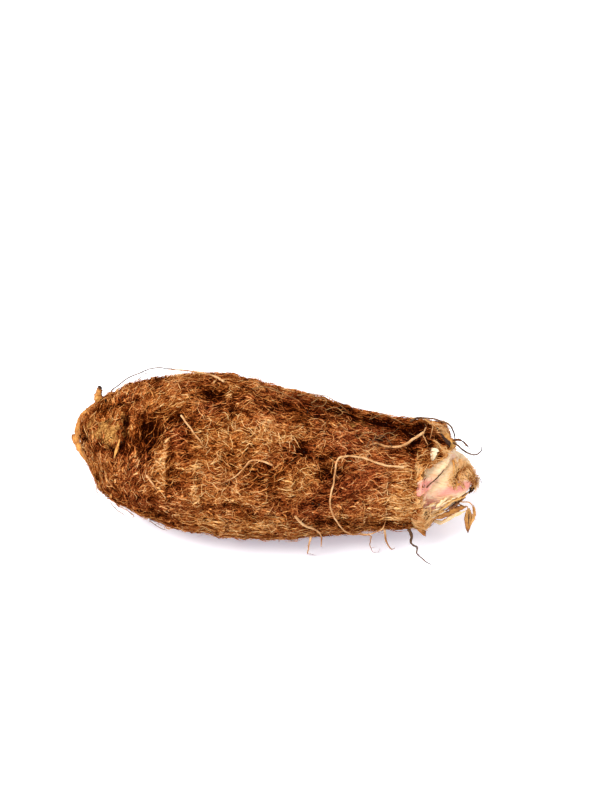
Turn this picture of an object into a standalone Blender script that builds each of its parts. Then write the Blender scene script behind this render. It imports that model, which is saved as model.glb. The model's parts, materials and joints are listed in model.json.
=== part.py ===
"""A taro corm lying on its side: the hairy corm, the cut leaf bases at its shoot end, dry leaf scales and roots.

Metres, +Z up. +X runs along the corm, from its old base to its shoot end, and the corm rests on z = 0.
A place on the corm is given as a station, the distance along its axis from the base tip, an angle round
the axis, where 0 faces -Y and 90 is the top, and a lift, the height above the skin.
The origin ends up in the middle of the footprint of the whole object, on the surface that it lies on.
"""

import math

import bmesh
import bpy
from mathutils import Vector, noise

# The corm: half an ellipsoid at the base, a taper to the neck and a shoulder that closes in on the shoot.
BELLY_RADIUS = 0.0332
BELLY_AT = 0.058
NECK_RADIUS = 0.0230
NECK_AT = 0.139
SHOULDER_RADIUS = 0.0182
SHOULDER_END = 0.156
TAPER_POWER = 1.25
BODY_SIDES = 56
BASE_RINGS = 14
TAPER_RINGS = 22
SHOULDER_RINGS = 4

# The mouth of the husk, which dips on the front of the corm, and the socket inside it.
MOUTH_AT = 0.1505
MOUTH_DIP = 0.0055
MOUTH_DIPS_AT = math.radians(28)
HUSK_THICKNESS = 0.0017
SOCKET_FLOOR = 0.1425
SOCKET_RADIUS = 0.0194

# How it lies: the shoot end sinks until the weight is over the belly, and the neck turns up and back.
SINK = math.radians(3.7)
NECK_TURNS_AT = 0.112
NECK_TURN_LENGTH = 0.045
NECK_RISE = 0.0030
NECK_SWING = 0.0035
BASE_SWING = -0.0004
FLAT_DEPTH = 0.0013

# Relief of the skin, and the flat scar that the old base keeps.
LUMP_SIZE = 0.024
LUMP_HEIGHT = 0.0015
RING_SPACING = 0.0105
RING_HEIGHT = 0.0004
UNDERSIDE_SMOOTH = 0.9
SCAR_NORMAL = Vector((-0.82, -0.55, 0.08)).normalized()
SCAR_DISTANCE = 0.0466
SCAR_KEEP = 0.2

# The shoot: a fleshy dome that stands in the socket, with the leaf bases wrapped over it.
GAP = 0.0004
DOME_START = SOCKET_FLOOR + GAP
DOME_LENGTH = 0.0263
DOME_RADIUS = 0.0158
DOME_SIDES = 28
DOME_RINGS = 10

# Roots are round tubes. Each keeps this much clear of the skin that it lies over.
ROOT_SIDES_RESOLUTION = 1
POINTS_PER_STRETCH = 3
CLEAR = 0.0010

SKIN = ((0.30, 0.15, 0.06), 0.9)
FLESH = ((0.80, 0.66, 0.48), 0.55)
PINK = ((0.82, 0.50, 0.42), 0.5)
DRY = ((0.48, 0.29, 0.13), 0.8)
ROOT = ((0.50, 0.32, 0.18), 0.8)
DARK_ROOT = ((0.12, 0.08, 0.05), 0.8)


def smooth(share):
    """Eases 0 to 1 with flat ends."""
    share = min(1.0, max(0.0, share))
    return share * share * (3 - 2 * share)


def body_radius(station):
    """Radius of the smooth corm, with no relief."""
    if station < BELLY_AT:
        return BELLY_RADIUS * math.sqrt(max(0.0, 1 - (1 - station / BELLY_AT) ** 2))
    if station < NECK_AT:
        along = ((station - BELLY_AT) / (NECK_AT - BELLY_AT)) ** TAPER_POWER
        return BELLY_RADIUS + (NECK_RADIUS - BELLY_RADIUS) * smooth(along)
    along = (station - NECK_AT) / (SHOULDER_END - NECK_AT)
    return NECK_RADIUS - (NECK_RADIUS - SHOULDER_RADIUS) * along**2


def mouth_station(angle):
    """Where the husk ends at this angle."""
    return MOUTH_AT - MOUTH_DIP * math.cos(angle - MOUTH_DIPS_AT)


def dome_radius(station):
    """Radius of the fleshy dome past the shoulder."""
    along = min(1.0, max(0.0, (station - DOME_START) / DOME_LENGTH))
    return DOME_RADIUS * math.sqrt(1 - along**2)


def relief(station, angle):
    """Height of the lumps and leaf-scar rings above the smooth corm. It fades at the base tip and underneath."""
    radius = body_radius(station)
    place = Vector((station, radius * math.cos(angle), radius * math.sin(angle)))
    lump = LUMP_HEIGHT * noise.noise(place / LUMP_SIZE)
    wobble = 0.35 * noise.noise(place / (2 * LUMP_SIZE) + Vector((7, 0, 0)))
    ring = RING_HEIGHT * math.cos(2 * math.pi * (station / RING_SPACING + wobble))
    pressed = 1 - UNDERSIDE_SMOOTH * max(0.0, -math.sin(angle)) ** 6
    return (lump + ring) * pressed * smooth(radius / (0.6 * BELLY_RADIUS))


def axis_point(station):
    """The centreline before the corm is set down: level with the belly ring, then sinking and turning."""
    turn = max(0.0, (station - NECK_TURNS_AT) / NECK_TURN_LENGTH) ** 2
    base = max(0.0, 1 - station / BELLY_AT) ** 2
    drop = math.tan(SINK) * (station - BELLY_AT)
    return Vector((station, BASE_SWING * base + NECK_SWING * turn, NECK_RISE * turn - drop))


def outwards(angle):
    return Vector((0, -math.cos(angle), math.sin(angle)))


def skin_point(station, angle, lift=0.0):
    """A point on the corm, raised by lift."""
    radius = body_radius(station) + relief(station, angle)
    point = axis_point(station) + outwards(angle) * (radius + lift)
    past = (point - axis_point(BELLY_AT)).dot(SCAR_NORMAL) - SCAR_DISTANCE - lift
    if past > 0 and station < BELLY_AT:
        point -= SCAR_NORMAL * past * (1 - SCAR_KEEP)
    return point


def underside_height():
    """Lowest point of the skin under the belly."""
    stations = [BELLY_AT + 0.002 * step for step in range(-10, 25)]
    angles = [math.radians(270 + 2 * step) for step in range(-12, 13)]
    return min(skin_point(s, a).z for s in stations for a in angles)


GROUND = underside_height() + FLAT_DEPTH


def on_corm(station, degrees, lift=0.0):
    """A skin point in the resting frame."""
    return skin_point(station, math.radians(degrees), lift) - Vector((0, 0, GROUND))


def on_dome(station, degrees, lift=0.0):
    """A point on the dome, in the resting frame."""
    ray = outwards(math.radians(degrees)) * (dome_radius(station) + lift)
    return axis_point(station) + ray - Vector((0, 0, GROUND))


def off_corm(station, forward, height):
    """A free point: so far forward of the axis, towards -Y, and so high above the surface."""
    return Vector((station, -forward, height))


def material(name, look):
    colour, roughness = look
    made = bpy.data.materials.get(name) or bpy.data.materials.new(name)
    made.use_nodes = True
    shader = made.node_tree.nodes["Principled BSDF"]
    shader.inputs["Base Color"].default_value = (*colour, 1)
    shader.inputs["Roughness"].default_value = roughness
    shader.inputs["Metallic"].default_value = 0.0
    return made


def add_object(name, data, finish, origin=Vector((0, 0, 0))):
    """Links an object for data whose points are relative to origin, under the corm's own empty."""
    made = bpy.data.objects.new(name, data)
    made.location = origin
    made.parent = WHOLE
    bpy.context.scene.collection.objects.link(made)
    data.materials.append(finish)
    return made


def mesh_object(name, points, faces, finish):
    """A smooth-shaded mesh object with its origin at the middle of its points, faces turned outwards."""
    origin = sum(points, Vector()) / len(points)
    mesh = bpy.data.meshes.new(name)
    mesh.from_pydata([point - origin for point in points], [], faces)
    work = bmesh.new()
    work.from_mesh(mesh)
    bmesh.ops.recalc_face_normals(work, faces=work.faces)
    work.to_mesh(mesh)
    work.free()
    mesh.shade_smooth()
    return add_object(name, mesh, finish, origin)


def joined_rings(rings, closed_round=True):
    """Quads between neighbouring rings of point numbers."""
    faces = []
    for ring, after in zip(rings, rings[1:]):
        count = len(ring)
        for side in range(count if closed_round else count - 1):
            beside = (side + 1) % count
            faces.append((ring[side], ring[beside], after[beside], after[side]))
    return faces


def body_stations():
    """Where the corm's rings stand: closer together towards the base tip, where the radius grows fast."""
    base = [BELLY_AT * (1 - math.cos(math.pi / 2 * (step + 1) / BASE_RINGS)) for step in range(BASE_RINGS)]
    taper = [BELLY_AT + (NECK_AT - BELLY_AT) * (step + 1) / TAPER_RINGS for step in range(TAPER_RINGS)]
    return base + taper


def ring_of(place):
    """The points of one ring round the corm, from a function of the angle."""
    return [place(2 * math.pi * side / BODY_SIDES) for side in range(BODY_SIDES)]


def shoulder_ring(share):
    """A ring between the neck and the mouth of the husk, at this share of the way."""

    def place(angle):
        return skin_point(NECK_AT + (mouth_station(angle) - NECK_AT) * share, angle)

    return ring_of(place)


def husk_lip(angle):
    """The inner edge of the mouth."""
    return skin_point(mouth_station(angle), angle, -HUSK_THICKNESS)


def socket_rim(angle):
    """The foot of the socket wall."""
    return axis_point(SOCKET_FLOOR) + outwards(angle) * SOCKET_RADIUS


def closed_body(name, tip, rings, finish):
    """A closed body from a tip point, rings of points and a last ring that is filled flat."""
    count = len(rings[0])
    points = [tip] + [point for ring in rings for point in ring]
    numbers = [range(1 + row * count, 1 + (row + 1) * count) for row in range(len(rings))]
    faces = joined_rings(numbers)
    faces += [(0, numbers[0][(side + 1) % count], numbers[0][side]) for side in range(count)]
    faces.append(tuple(numbers[-1]))
    return mesh_object(name, points, faces, finish)


def build_corm():
    """The corm with its husk. It holds a socket for the shoot, and where it lies it is pressed flat."""
    rings = [ring_of(lambda angle, at=station: skin_point(at, angle)) for station in body_stations()]
    rings += [shoulder_ring((step + 1) / SHOULDER_RINGS) for step in range(SHOULDER_RINGS)]
    rings += [ring_of(husk_lip), ring_of(socket_rim)]
    down = Vector((0, 0, GROUND))
    lying = [[point - down for point in ring] for ring in rings]
    for point in (point for ring in lying for point in ring):
        point.z = max(point.z, 0.0)
    closed_body("corm", skin_point(0.0, 0.0) - down, lying, material("husk", SKIN))


def build_dome():
    """The fleshy stump inside the leaf bases, flat where it meets the corm."""
    degrees = [360 * side / DOME_SIDES for side in range(DOME_SIDES)]
    turns = [math.pi / 2 * (step + 1) / DOME_RINGS for step in range(DOME_RINGS)]
    stations = [DOME_START + DOME_LENGTH * max(0.0, math.cos(turn)) for turn in turns]
    rings = [[on_dome(station, degree) for degree in degrees] for station in stations]
    closed_body("shoot_stump", on_dome(DOME_START + DOME_LENGTH, 0), rings, material("flesh", FLESH))


def leaf_base(name, start, tips, degrees, lifts, thickness, finish, rows=9, columns=9, pointed=0.4):
    """A sheath hugging the dome from the start station to a slanting edge, its station given for both ends.

    Its lift goes from the first of lifts to the second near the edge. It narrows to its edge by pointed, from
    0 for square to 1 for a point.
    """
    middle, half = sum(degrees) / 2, (degrees[1] - degrees[0]) / 2
    points = []
    for row in range(rows):
        along = row / (rows - 1)
        lift = lifts[0] + (lifts[1] - lifts[0]) * along**4
        for column in range(columns):
            share = column / (columns - 1)
            edge = tips[0] + (tips[1] - tips[0]) * share
            width = half * (1 - pointed * along**2)
            points.append(on_dome(start + (edge - start) * along, middle + width * (2 * share - 1), lift))
    grid = [range(row * columns, (row + 1) * columns) for row in range(rows)]
    made = mesh_object(name, points, joined_rings(grid, closed_round=False), finish)
    face_away(made)
    shell = made.modifiers.new("thickness", "SOLIDIFY")
    shell.thickness = thickness
    shell.offset = 1.0
    return made


def face_away(made):
    """Turns an open sheet's faces so that they point away from the corm's centreline."""
    place = made.location
    face = made.data.polygons[len(made.data.polygons) // 2]
    middle = face.center + place
    axis = axis_point(middle.x) - Vector((0, 0, GROUND))
    if face.normal.dot(middle - axis) < 0:
        made.data.flip_normals()


def build_leaf_bases():
    """The cut leaf bases: an inner row side by side on the dome, and the outer one over their roots."""
    flesh, pink = material("flesh", FLESH), material("pink_flesh", PINK)
    root_at = DOME_START + 0.0002
    thin, low = 0.0011, (GAP, GAP)
    leaf_base("leaf_base_bud", root_at, (0.1645, 0.1662), (2, 34), (GAP, 0.0014), thin, pink, pointed=0.3)
    leaf_base("leaf_base_middle", root_at, (0.1590, 0.1640), (38, 80), low, thin, flesh)
    leaf_base("leaf_base_upper", root_at, (0.1655, 0.1620), (84, 148), low, thin, flesh)
    leaf_base("leaf_base_back", root_at, (0.1600, 0.1580), (152, 250), low, thin, flesh)
    leaf_base("leaf_base_under", root_at, (0.1580, 0.1640), (254, 358), low, thin, flesh)
    leaf_base("leaf_base_outer", root_at, (0.1500, 0.1620), (4, 100), (0.0019, 0.0023), 0.0014, pink, pointed=0.1)


def along_route(route):
    """Points of a smooth line through the route's points."""
    ends = [2 * route[0] - route[1], *route, 2 * route[-1] - route[-2]]
    points = []
    for before, start, end, after in zip(ends, ends[1:], ends[2:], ends[3:]):
        for step in range(POINTS_PER_STRETCH):
            t = step / POINTS_PER_STRETCH
            pull = 2 * start + (end - before) * t
            pull += (2 * before - 5 * start + 4 * end - after) * t**2
            pull += (3 * start - before - 3 * end + after) * t**3
            points.append(pull / 2)
    return [*points, route[-1]]


def root(name, route, thickness, finish, tip=0.45):
    """A root along a route, from thickness where it grows out to tip times that at its end."""
    points = along_route(route)
    origin = points[0]
    curve = bpy.data.curves.new(name, "CURVE")
    curve.dimensions = "3D"
    curve.bevel_depth = thickness / 2
    curve.bevel_resolution = ROOT_SIDES_RESOLUTION
    curve.use_fill_caps = True
    spline = curve.splines.new("POLY")
    spline.points.add(len(points) - 1)
    for number, point in enumerate(points):
        along = number / (len(points) - 1)
        spline.points[number].co = (*(point - origin), 1)
        spline.points[number].radius = 1 - (1 - tip) * along
    return add_object(name, curve, finish, origin)


def scale(name, route, width, thickness, finish, facing):
    """A dry leaf scale: a thin strip along a route, widest at its middle, its face turned to facing."""
    points = along_route(route)
    rings, corners = [], []
    for number, point in enumerate(points):
        along = number / (len(points) - 1)
        ahead = points[min(number + 1, len(points) - 1)] - points[max(number - 1, 0)]
        across = ahead.cross(facing(point)).normalized()
        normal = across.cross(ahead).normalized()
        half = width / 2 * (0.25 + 0.75 * math.sin(math.pi * (0.12 + 0.8 * along)))
        outline = ((-1, 0), (-0.5, 0.5), (0.5, 0.5), (1, 0), (0.5, -0.5), (-0.5, -0.5))
        rings.append(range(len(corners), len(corners) + len(outline)))
        corners += [point + across * half * a + normal * thickness * b for a, b in outline]
    faces = joined_rings(rings)
    faces += [tuple(rings[0]), tuple(rings[-1])]
    return mesh_object(name, corners, faces, finish)


def away_from_axis(point):
    """The direction from the centreline to a point, which a strip on the skin faces."""
    return point - (axis_point(point.x) - Vector((0, 0, GROUND)))


def away_from_base(point):
    """The direction that a strip on the old base faces: back along the axis, and outwards."""
    return away_from_axis(point) + Vector((-0.03, 0, 0))


def away_from_tip(point):
    """The direction that a scale lying over the tip of the shoot faces."""
    return away_from_axis(point) + Vector((0.012, 0, 0))


def sideways(_point):
    """The direction that a scale standing off the shoot faces."""
    return Vector((0, -1, 0.35))


def along_skin(*places, lift=CLEAR):
    """Route points on the corm from (station, degrees) or (station, degrees, extra lift) places."""
    return [on_corm(p[0], p[1], lift + (p[2] if len(p) > 2 else 0)) for p in places]


def over_dome(*places):
    """Route points over the dome from (station, degrees, lift) places."""
    return [on_dome(*place) for place in places]


def build_base_scales():
    """What is left of the oldest leaf scales round the base: a curled rim and a pointed flap."""
    dry = material("dry_scale", DRY)
    rim = along_skin((0.0100, 104), (0.0045, 108), (0.0016, 104), (0.0006, 60), (0.0014, -20), (0.0052, -34))
    rim = [point + Vector((-0.0007, 0, 0)) for point in rim]
    scale("dry_scale_base_rim", rim, 0.0034, 0.0006, dry, away_from_base)
    flap = [off_corm(0.0085, -0.0081, 0.0517), off_corm(0.0091, -0.0081, 0.0534), off_corm(0.0100, -0.0081, 0.0570)]
    flap += [off_corm(0.0109, -0.0081, 0.0604)]
    scale("dry_scale_base_flap", flap, 0.0036, 0.0006, dry, sideways)


def build_shoot_scales():
    """Dry scales round the shoot: one arching over the mouth, torn ones on its tip and strips hanging below."""
    dry = material("dry_scale", DRY)
    arch = [on_corm(0.1445, 108, 0.0014)]
    arch += over_dome((0.1490, 113, 0.0066), (0.1526, 106, 0.0060), (0.1552, 97, 0.0054), (0.1562, 84, 0.0048))
    scale("dry_scale_mouth", arch, 0.0050, 0.0006, dry, away_from_axis)
    lower = [*over_dome((0.1505, -46, 0.0040)), off_corm(0.1540, 0.0129, 0.0146), off_corm(0.1568, 0.0129, 0.0164)]
    lower += [off_corm(0.1588, 0.0126, 0.0184), off_corm(0.1624, 0.0116, 0.0206), off_corm(0.1648, 0.0106, 0.0218)]
    scale("dry_scale_lower", lower, 0.0026, 0.0006, dry, sideways)
    torn = over_dome((0.1595, 40, 0.0028), (0.1630, 38, 0.0034), (0.1664, 30, 0.0038), (0.1695, 22, 0.0046))
    scale("dry_scale_tip_front", torn, 0.0036, 0.0006, dry, away_from_tip)
    torn = [*over_dome((0.1566, 114, 0.0056)), off_corm(0.1592, -0.0040, 0.0496), off_corm(0.1616, -0.0031, 0.0470)]
    torn += [off_corm(0.1636, -0.0031, 0.0444)]
    scale("dry_scale_tip_top", torn, 0.0030, 0.0006, dry, away_from_tip)
    curled = [*over_dome((0.1600, -16, 0.0024)), off_corm(0.1636, 0.0089, 0.0244), off_corm(0.1652, 0.0089, 0.0226)]
    curled += [off_corm(0.1658, 0.0089, 0.0173), off_corm(0.1666, 0.0089, 0.0090), off_corm(0.1670, 0.0089, 0.0042)]
    scale("dry_scale_curled", curled, 0.0044, 0.0007, dry, sideways)
    tatter = [on_corm(0.1448, -30, 0.0012), on_corm(0.1472, -36, 0.0026), off_corm(0.1484, 0.0199, 0.0144)]
    scale("dry_scale_hanging", tatter, 0.0030, 0.0006, dry, sideways)


def build_front_roots():
    """The roots that cross the side facing -Y."""
    pale = material("root", ROOT)
    thick = along_skin((0.1440, 91), (0.1403, 83), (0.1357, 74), (0.1297, 73), (0.1257, 75), (0.1217, 71), lift=0.0016)
    root("root_thick", thick, 0.0017, pale, tip=0.5)
    branch = along_skin((0.1443, 87), (0.1446, 84), (0.1452, 80), (0.1458, 76), lift=0.0010)
    root("root_thick_branch", branch, 0.0009, pale)
    kinked = along_skin((0.0859, 46), (0.0812, 48), (0.0773, 47), (0.0741, 40), (0.0699, 33), (0.0646, 28))
    root("root_kinked", kinked, 0.0012, pale)
    root("root_straight", along_skin((0.0480, 73), (0.0532, 63), (0.0572, 56), (0.0607, 49)), 0.0012, pale)
    root("root_low", along_skin((0.0366, 28), (0.0390, 23), (0.0410, 18)), 0.0010, pale)
    over = [*along_skin((0.0620, 109), (0.0575, 117)), off_corm(0.0526, -0.0151, 0.0646), off_corm(0.0486, -0.0151, 0.0650)]
    over += [off_corm(0.0432, -0.0154, 0.0650), off_corm(0.0374, -0.0160, 0.0642)]
    root("root_over_top", over, 0.0010, pale)


def build_hanging_roots():
    """The roots that cross the lower front and hang from it to the surface, and the last ones by the mouth."""
    pale, brown = material("root", ROOT), material("dark_root", DARK_ROOT)
    long_root = along_skin((0.1370, 54), (0.1286, 56), (0.1205, 61), (0.1138, 60), (0.1106, 56), (0.1102, 47))
    long_root += along_skin((0.1098, 36), (0.1090, 26), (0.1094, 14), (0.1122, 1), (0.1168, -14), (0.1224, -24))
    long_root += [on_corm(0.1260, -36, 0.0022), off_corm(0.1258, 0.0216, 0.0078)]
    long_root += [off_corm(0.1272, 0.0206, 0.0022), off_corm(0.1296, 0.0197, 0.0010)]
    root("root_long", long_root, 0.0011, pale)
    forked = along_skin((0.0957, 7), (0.0988, -4), (0.1035, -13), (0.1056, -24))
    forked += [off_corm(0.1060, 0.0278, 0.0146), off_corm(0.1058, 0.0270, 0.0105)]
    root("root_forked", forked, 0.0011, pale)
    branch = [on_corm(0.1016, -23, 0.0020), off_corm(0.1010, 0.0276, 0.0133), off_corm(0.1002, 0.0256, 0.0042)]
    root("root_fork_branch", [*branch, off_corm(0.1000, 0.0240, 0.0010)], 0.0009, pale)
    short = [on_corm(0.1312, -30, 0.0010), on_corm(0.1318, -40, 0.0024), off_corm(0.1328, 0.0210, 0.0100)]
    short += [off_corm(0.1346, 0.0208, 0.0052), off_corm(0.1364, 0.0202, 0.0047)]
    root("root_short", short, 0.0011, pale)
    stub = [on_corm(0.1412, -29, 0.0016), off_corm(0.1426, 0.0206, 0.0145), off_corm(0.1428, 0.0199, 0.0086)]
    root("root_stub", stub, 0.0015, brown, tip=0.8)
    wavy = [off_corm(0.1438, 0.0199, 0.0077), off_corm(0.1444, 0.0199, 0.0074), off_corm(0.1457, 0.0199, 0.0064)]
    wavy += [off_corm(0.1460, 0.0194, 0.0012), off_corm(0.1493, 0.0220, 0.0008), off_corm(0.1525, 0.0243, 0.0008)]
    root("root_wavy", wavy, 0.0009, brown)


def build_shoot_roots():
    """The dark wiry roots that stand off the top of the shoot end."""
    brown = material("dark_root", DARK_ROOT)
    hooked = [*over_dome((0.1582, 95, 0.0058)), off_corm(0.1598, -0.0012, 0.0466), off_corm(0.1614, -0.0018, 0.0448)]
    hooked += [off_corm(0.1637, -0.0021, 0.0423), off_corm(0.1663, -0.0021, 0.0421), off_corm(0.1679, -0.0021, 0.0440)]
    hooked += [off_corm(0.1680, -0.0021, 0.0463), off_corm(0.1672, -0.0021, 0.0477)]
    root("root_hooked", hooked, 0.0009, brown)
    arched = [on_corm(0.1385, 112, 0.0008), on_corm(0.1410, 111, 0.0014), off_corm(0.1438, -0.0061, 0.0574)]
    arched += [off_corm(0.1478, -0.0061, 0.0570), off_corm(0.1534, -0.0061, 0.0550), off_corm(0.1552, -0.0061, 0.0530)]
    arched += [off_corm(0.1566, -0.0062, 0.0498)]
    root("root_arched", arched, 0.0009, brown)


def build_back_roots():
    """Roots on the far side, placed by a rule, because such a corm carries them all round near its shoot."""
    pale = material("root", ROOT)
    places = ((0.0860, 205, -1), (0.1060, 168, 1), (0.1180, 214, 1), (0.1290, 176, -1))
    for number, (station, degrees, turn) in enumerate(places, 1):
        steps = [(station + 0.0045 * k, degrees + turn * 26 * math.sin(0.62 * k), 0.0003) for k in range(5)]
        root(f"root_back_{number}", along_skin(*steps), 0.0011, pale)


def centre_footprint():
    """Moves the whole object so that its box stands centred on the origin."""
    bpy.context.view_layer.update()
    graph = bpy.context.evaluated_depsgraph_get()
    corners = []
    for made in WHOLE.children:
        shown = made.evaluated_get(graph)
        mesh = shown.to_mesh()
        corners += [shown.matrix_world @ vertex.co for vertex in mesh.vertices]
        shown.to_mesh_clear()
    for axis in (0, 1):
        values = [corner[axis] for corner in corners]
        WHOLE.location[axis] -= (min(values) + max(values)) / 2


for old in list(bpy.data.objects):
    bpy.data.objects.remove(old)
WHOLE = bpy.data.objects.new("taro", None)
bpy.context.scene.collection.objects.link(WHOLE)
build_corm()
build_dome()
build_leaf_bases()
build_base_scales()
build_shoot_scales()
build_front_roots()
build_hanging_roots()
build_shoot_roots()
build_back_roots()
centre_footprint()
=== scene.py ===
# %% [markdown]
# A taro corm, built over its CAD frame.
#
# The corm lies on its side. Brown fibres, the remains of old leaf bases, cover all of it like a mat. At one
# end the cut leaf bases show, cream and pink. The CAD solids give the sizes and the places. Each step here
# makes one surface or one kind of growth round them. The first cell loads the frame and keeps its box.

# %% Load the frame
import json
import math
import random

import bmesh
import bpy
import numpy as np
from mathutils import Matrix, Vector, noise
from mathutils.bvhtree import BVHTree

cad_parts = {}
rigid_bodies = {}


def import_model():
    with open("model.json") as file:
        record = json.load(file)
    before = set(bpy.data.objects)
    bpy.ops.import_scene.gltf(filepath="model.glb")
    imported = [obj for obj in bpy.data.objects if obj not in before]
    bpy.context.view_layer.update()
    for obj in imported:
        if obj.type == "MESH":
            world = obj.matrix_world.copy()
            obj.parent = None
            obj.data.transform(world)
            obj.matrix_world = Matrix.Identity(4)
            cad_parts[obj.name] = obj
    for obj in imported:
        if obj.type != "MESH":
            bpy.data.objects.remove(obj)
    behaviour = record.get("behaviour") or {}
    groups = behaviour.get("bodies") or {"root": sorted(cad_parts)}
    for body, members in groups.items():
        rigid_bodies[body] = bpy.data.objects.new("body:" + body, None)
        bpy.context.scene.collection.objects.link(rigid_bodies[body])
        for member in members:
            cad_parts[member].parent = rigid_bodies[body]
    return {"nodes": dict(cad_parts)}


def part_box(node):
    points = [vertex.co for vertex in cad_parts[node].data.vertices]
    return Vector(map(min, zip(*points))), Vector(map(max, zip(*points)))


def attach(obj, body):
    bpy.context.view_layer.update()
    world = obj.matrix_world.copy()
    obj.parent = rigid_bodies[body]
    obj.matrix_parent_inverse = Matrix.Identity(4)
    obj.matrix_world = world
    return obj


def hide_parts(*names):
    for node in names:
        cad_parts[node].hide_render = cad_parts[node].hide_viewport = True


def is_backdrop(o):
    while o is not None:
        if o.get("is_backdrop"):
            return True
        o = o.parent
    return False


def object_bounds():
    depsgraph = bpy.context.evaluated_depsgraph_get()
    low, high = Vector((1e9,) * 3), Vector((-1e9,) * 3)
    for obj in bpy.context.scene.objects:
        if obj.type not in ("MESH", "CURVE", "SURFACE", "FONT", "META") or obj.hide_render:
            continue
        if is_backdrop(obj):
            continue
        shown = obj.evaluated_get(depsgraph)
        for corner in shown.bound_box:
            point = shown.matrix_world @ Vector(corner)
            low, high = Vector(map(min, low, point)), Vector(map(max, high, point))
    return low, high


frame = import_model()
cad_box = [list(corner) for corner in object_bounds()]
MM = 0.001
print("CAD nodes:", len(frame["nodes"]), "box:", [[round(v, 4) for v in corner] for corner in cad_box])

# %% [markdown]
# The camera looks down on the corm from the front, turned a little towards the shoot end, so that the
# corm's axis runs down to the right in the picture. It aims past the corm's middle, which leaves the corm
# low and to the left.

# %% Camera
CAMERA_TURN = math.radians(7.6)
CAMERA_RISE = math.radians(48)
CAMERA_DISTANCE = 0.467
corm_middle = Vector((0.0, 0.0, 0.0304))
towards_camera = Vector((
    math.sin(CAMERA_TURN) * math.cos(CAMERA_RISE),
    -math.cos(CAMERA_TURN) * math.cos(CAMERA_RISE),
    math.sin(CAMERA_RISE),
))
picture_right = Vector((math.cos(CAMERA_TURN), math.sin(CAMERA_TURN), 0))
picture_up = towards_camera.cross(picture_right)
camera = bpy.data.objects.new("camera", bpy.data.cameras.new("camera"))
bpy.context.scene.collection.objects.link(camera)
camera.location = corm_middle + towards_camera * CAMERA_DISTANCE
aim = corm_middle + picture_right * 0.0097 + picture_up * 0.0260
camera.rotation_euler = (aim - camera.location).to_track_quat("-Z", "Y").to_euler()
camera.data.lens = 50
camera.data.clip_start = 0.01
bpy.context.scene.camera = camera
print("camera at", tuple(round(v, 3) for v in camera.location))

# %% [markdown]
# The light is a bright white room: a white world, and one wide soft lamp above the left shoulder that gives
# the fibres their small shadows. The floor is a white sheet on a light table. It glows a little, faintly
# blue, which keeps the shadow under the corm pale and cool.

# %% Floor and light
def plain_material(name, colour, roughness):
    """A Principled material of one colour, with its shader node."""
    made = bpy.data.materials.new(name)
    made.use_nodes = True
    shader = made.node_tree.nodes["Principled BSDF"]
    shader.inputs["Base Color"].default_value = (*colour, 1)
    shader.inputs["Roughness"].default_value = roughness
    return made, shader


bpy.ops.mesh.primitive_plane_add(size=6)
floor = bpy.context.object
floor.name = "floor"
white_sheet, sheet_shader = plain_material("white_sheet", (0.90, 0.90, 0.91), 0.9)
sheet_shader.inputs["Emission Color"].default_value = (0.82, 0.80, 1.0, 1)
sheet_shader.inputs["Emission Strength"].default_value = 0.30
floor.data.materials.append(white_sheet)
floor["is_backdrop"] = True

world = bpy.data.worlds.new("white_room")
bpy.context.scene.world = world
world.use_nodes = True
world.node_tree.nodes["Background"].inputs["Color"].default_value = (1.0, 1.0, 1.0, 1)
world.node_tree.nodes["Background"].inputs["Strength"].default_value = 1.05

lamp = bpy.data.objects.new("soft_lamp", bpy.data.lights.new("soft_lamp", "AREA"))
bpy.context.scene.collection.objects.link(lamp)
lamp.data.shape = "DISK"
lamp.data.size = 0.5
lamp.data.energy = 9.0
lamp.location = (-0.35, -0.25, 0.75)
lamp.rotation_euler = (corm_middle - lamp.location).to_track_quat("-Z", "Y").to_euler()
bpy.context.scene.view_settings.view_transform = "Standard"
print("lamp", lamp.data.energy, "W")

# %% [markdown]
# ## Places on the corm
#
# Everything that grows on the corm is placed by a station, the distance along its axis from the base tip in
# millimetres, and an angle round it in degrees: 0 faces the front, 90 is the top. The centreline is the CAD
# model's own, which sinks towards the shoot, and then turns up and back at the neck. The husk ends in a
# slanting mouth, which lies furthest back at the front. A ray from outside towards the centreline finds the
# CAD skin there.

# %% Stations and angles
CAD_CORM = frame["nodes"]["corm"]
STUMP_STATION = 142.9
STUMP_RADIUS = 15.8
BELLY_AT = 58.0
SINK = math.radians(3.7)
NECK_AT, NECK_LENGTH = 112, 45
NECK_BACK, NECK_RISE = 3.5, 3.0
BASE_FORWARD = 0.4
MOUTH_MIDDLE, MOUTH_SLANT, MOUTH_SIDE = 150.5, 5.5, 28
FLOOR_GAP = 0.00005
stump_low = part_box("shoot_stump")[0]
stump_turn = ((STUMP_STATION - NECK_AT) / NECK_LENGTH) ** 2
stump_drop = math.tan(SINK) * (STUMP_STATION - BELLY_AT) - NECK_RISE * stump_turn
AXIS_START = stump_low.x - STUMP_STATION * MM
AXIS_SIDE = stump_low.y + (STUMP_RADIUS - NECK_BACK * stump_turn) * MM
BELLY_HEIGHT = stump_low.z + (STUMP_RADIUS + stump_drop) * MM


def axis_point(station):
    """The centreline at a station in millimetres."""
    turn = max(0.0, (station - NECK_AT) / NECK_LENGTH) ** 2
    base = max(0.0, 1 - station / BELLY_AT) ** 2
    sideways = (NECK_BACK * turn - BASE_FORWARD * base) * MM
    drop = (math.tan(SINK) * (station - BELLY_AT) - NECK_RISE * turn) * MM
    return Vector((AXIS_START + station * MM, AXIS_SIDE + sideways, BELLY_HEIGHT - drop))


def outwards(degrees):
    """The direction away from the centreline at an angle."""
    angle = math.radians(degrees)
    return Vector((0, -math.cos(angle), math.sin(angle)))


def mouth_station(degrees):
    """Where the husk ends."""
    return MOUTH_MIDDLE - MOUTH_SLANT * math.cos(math.radians(degrees - MOUTH_SIDE))


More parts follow.
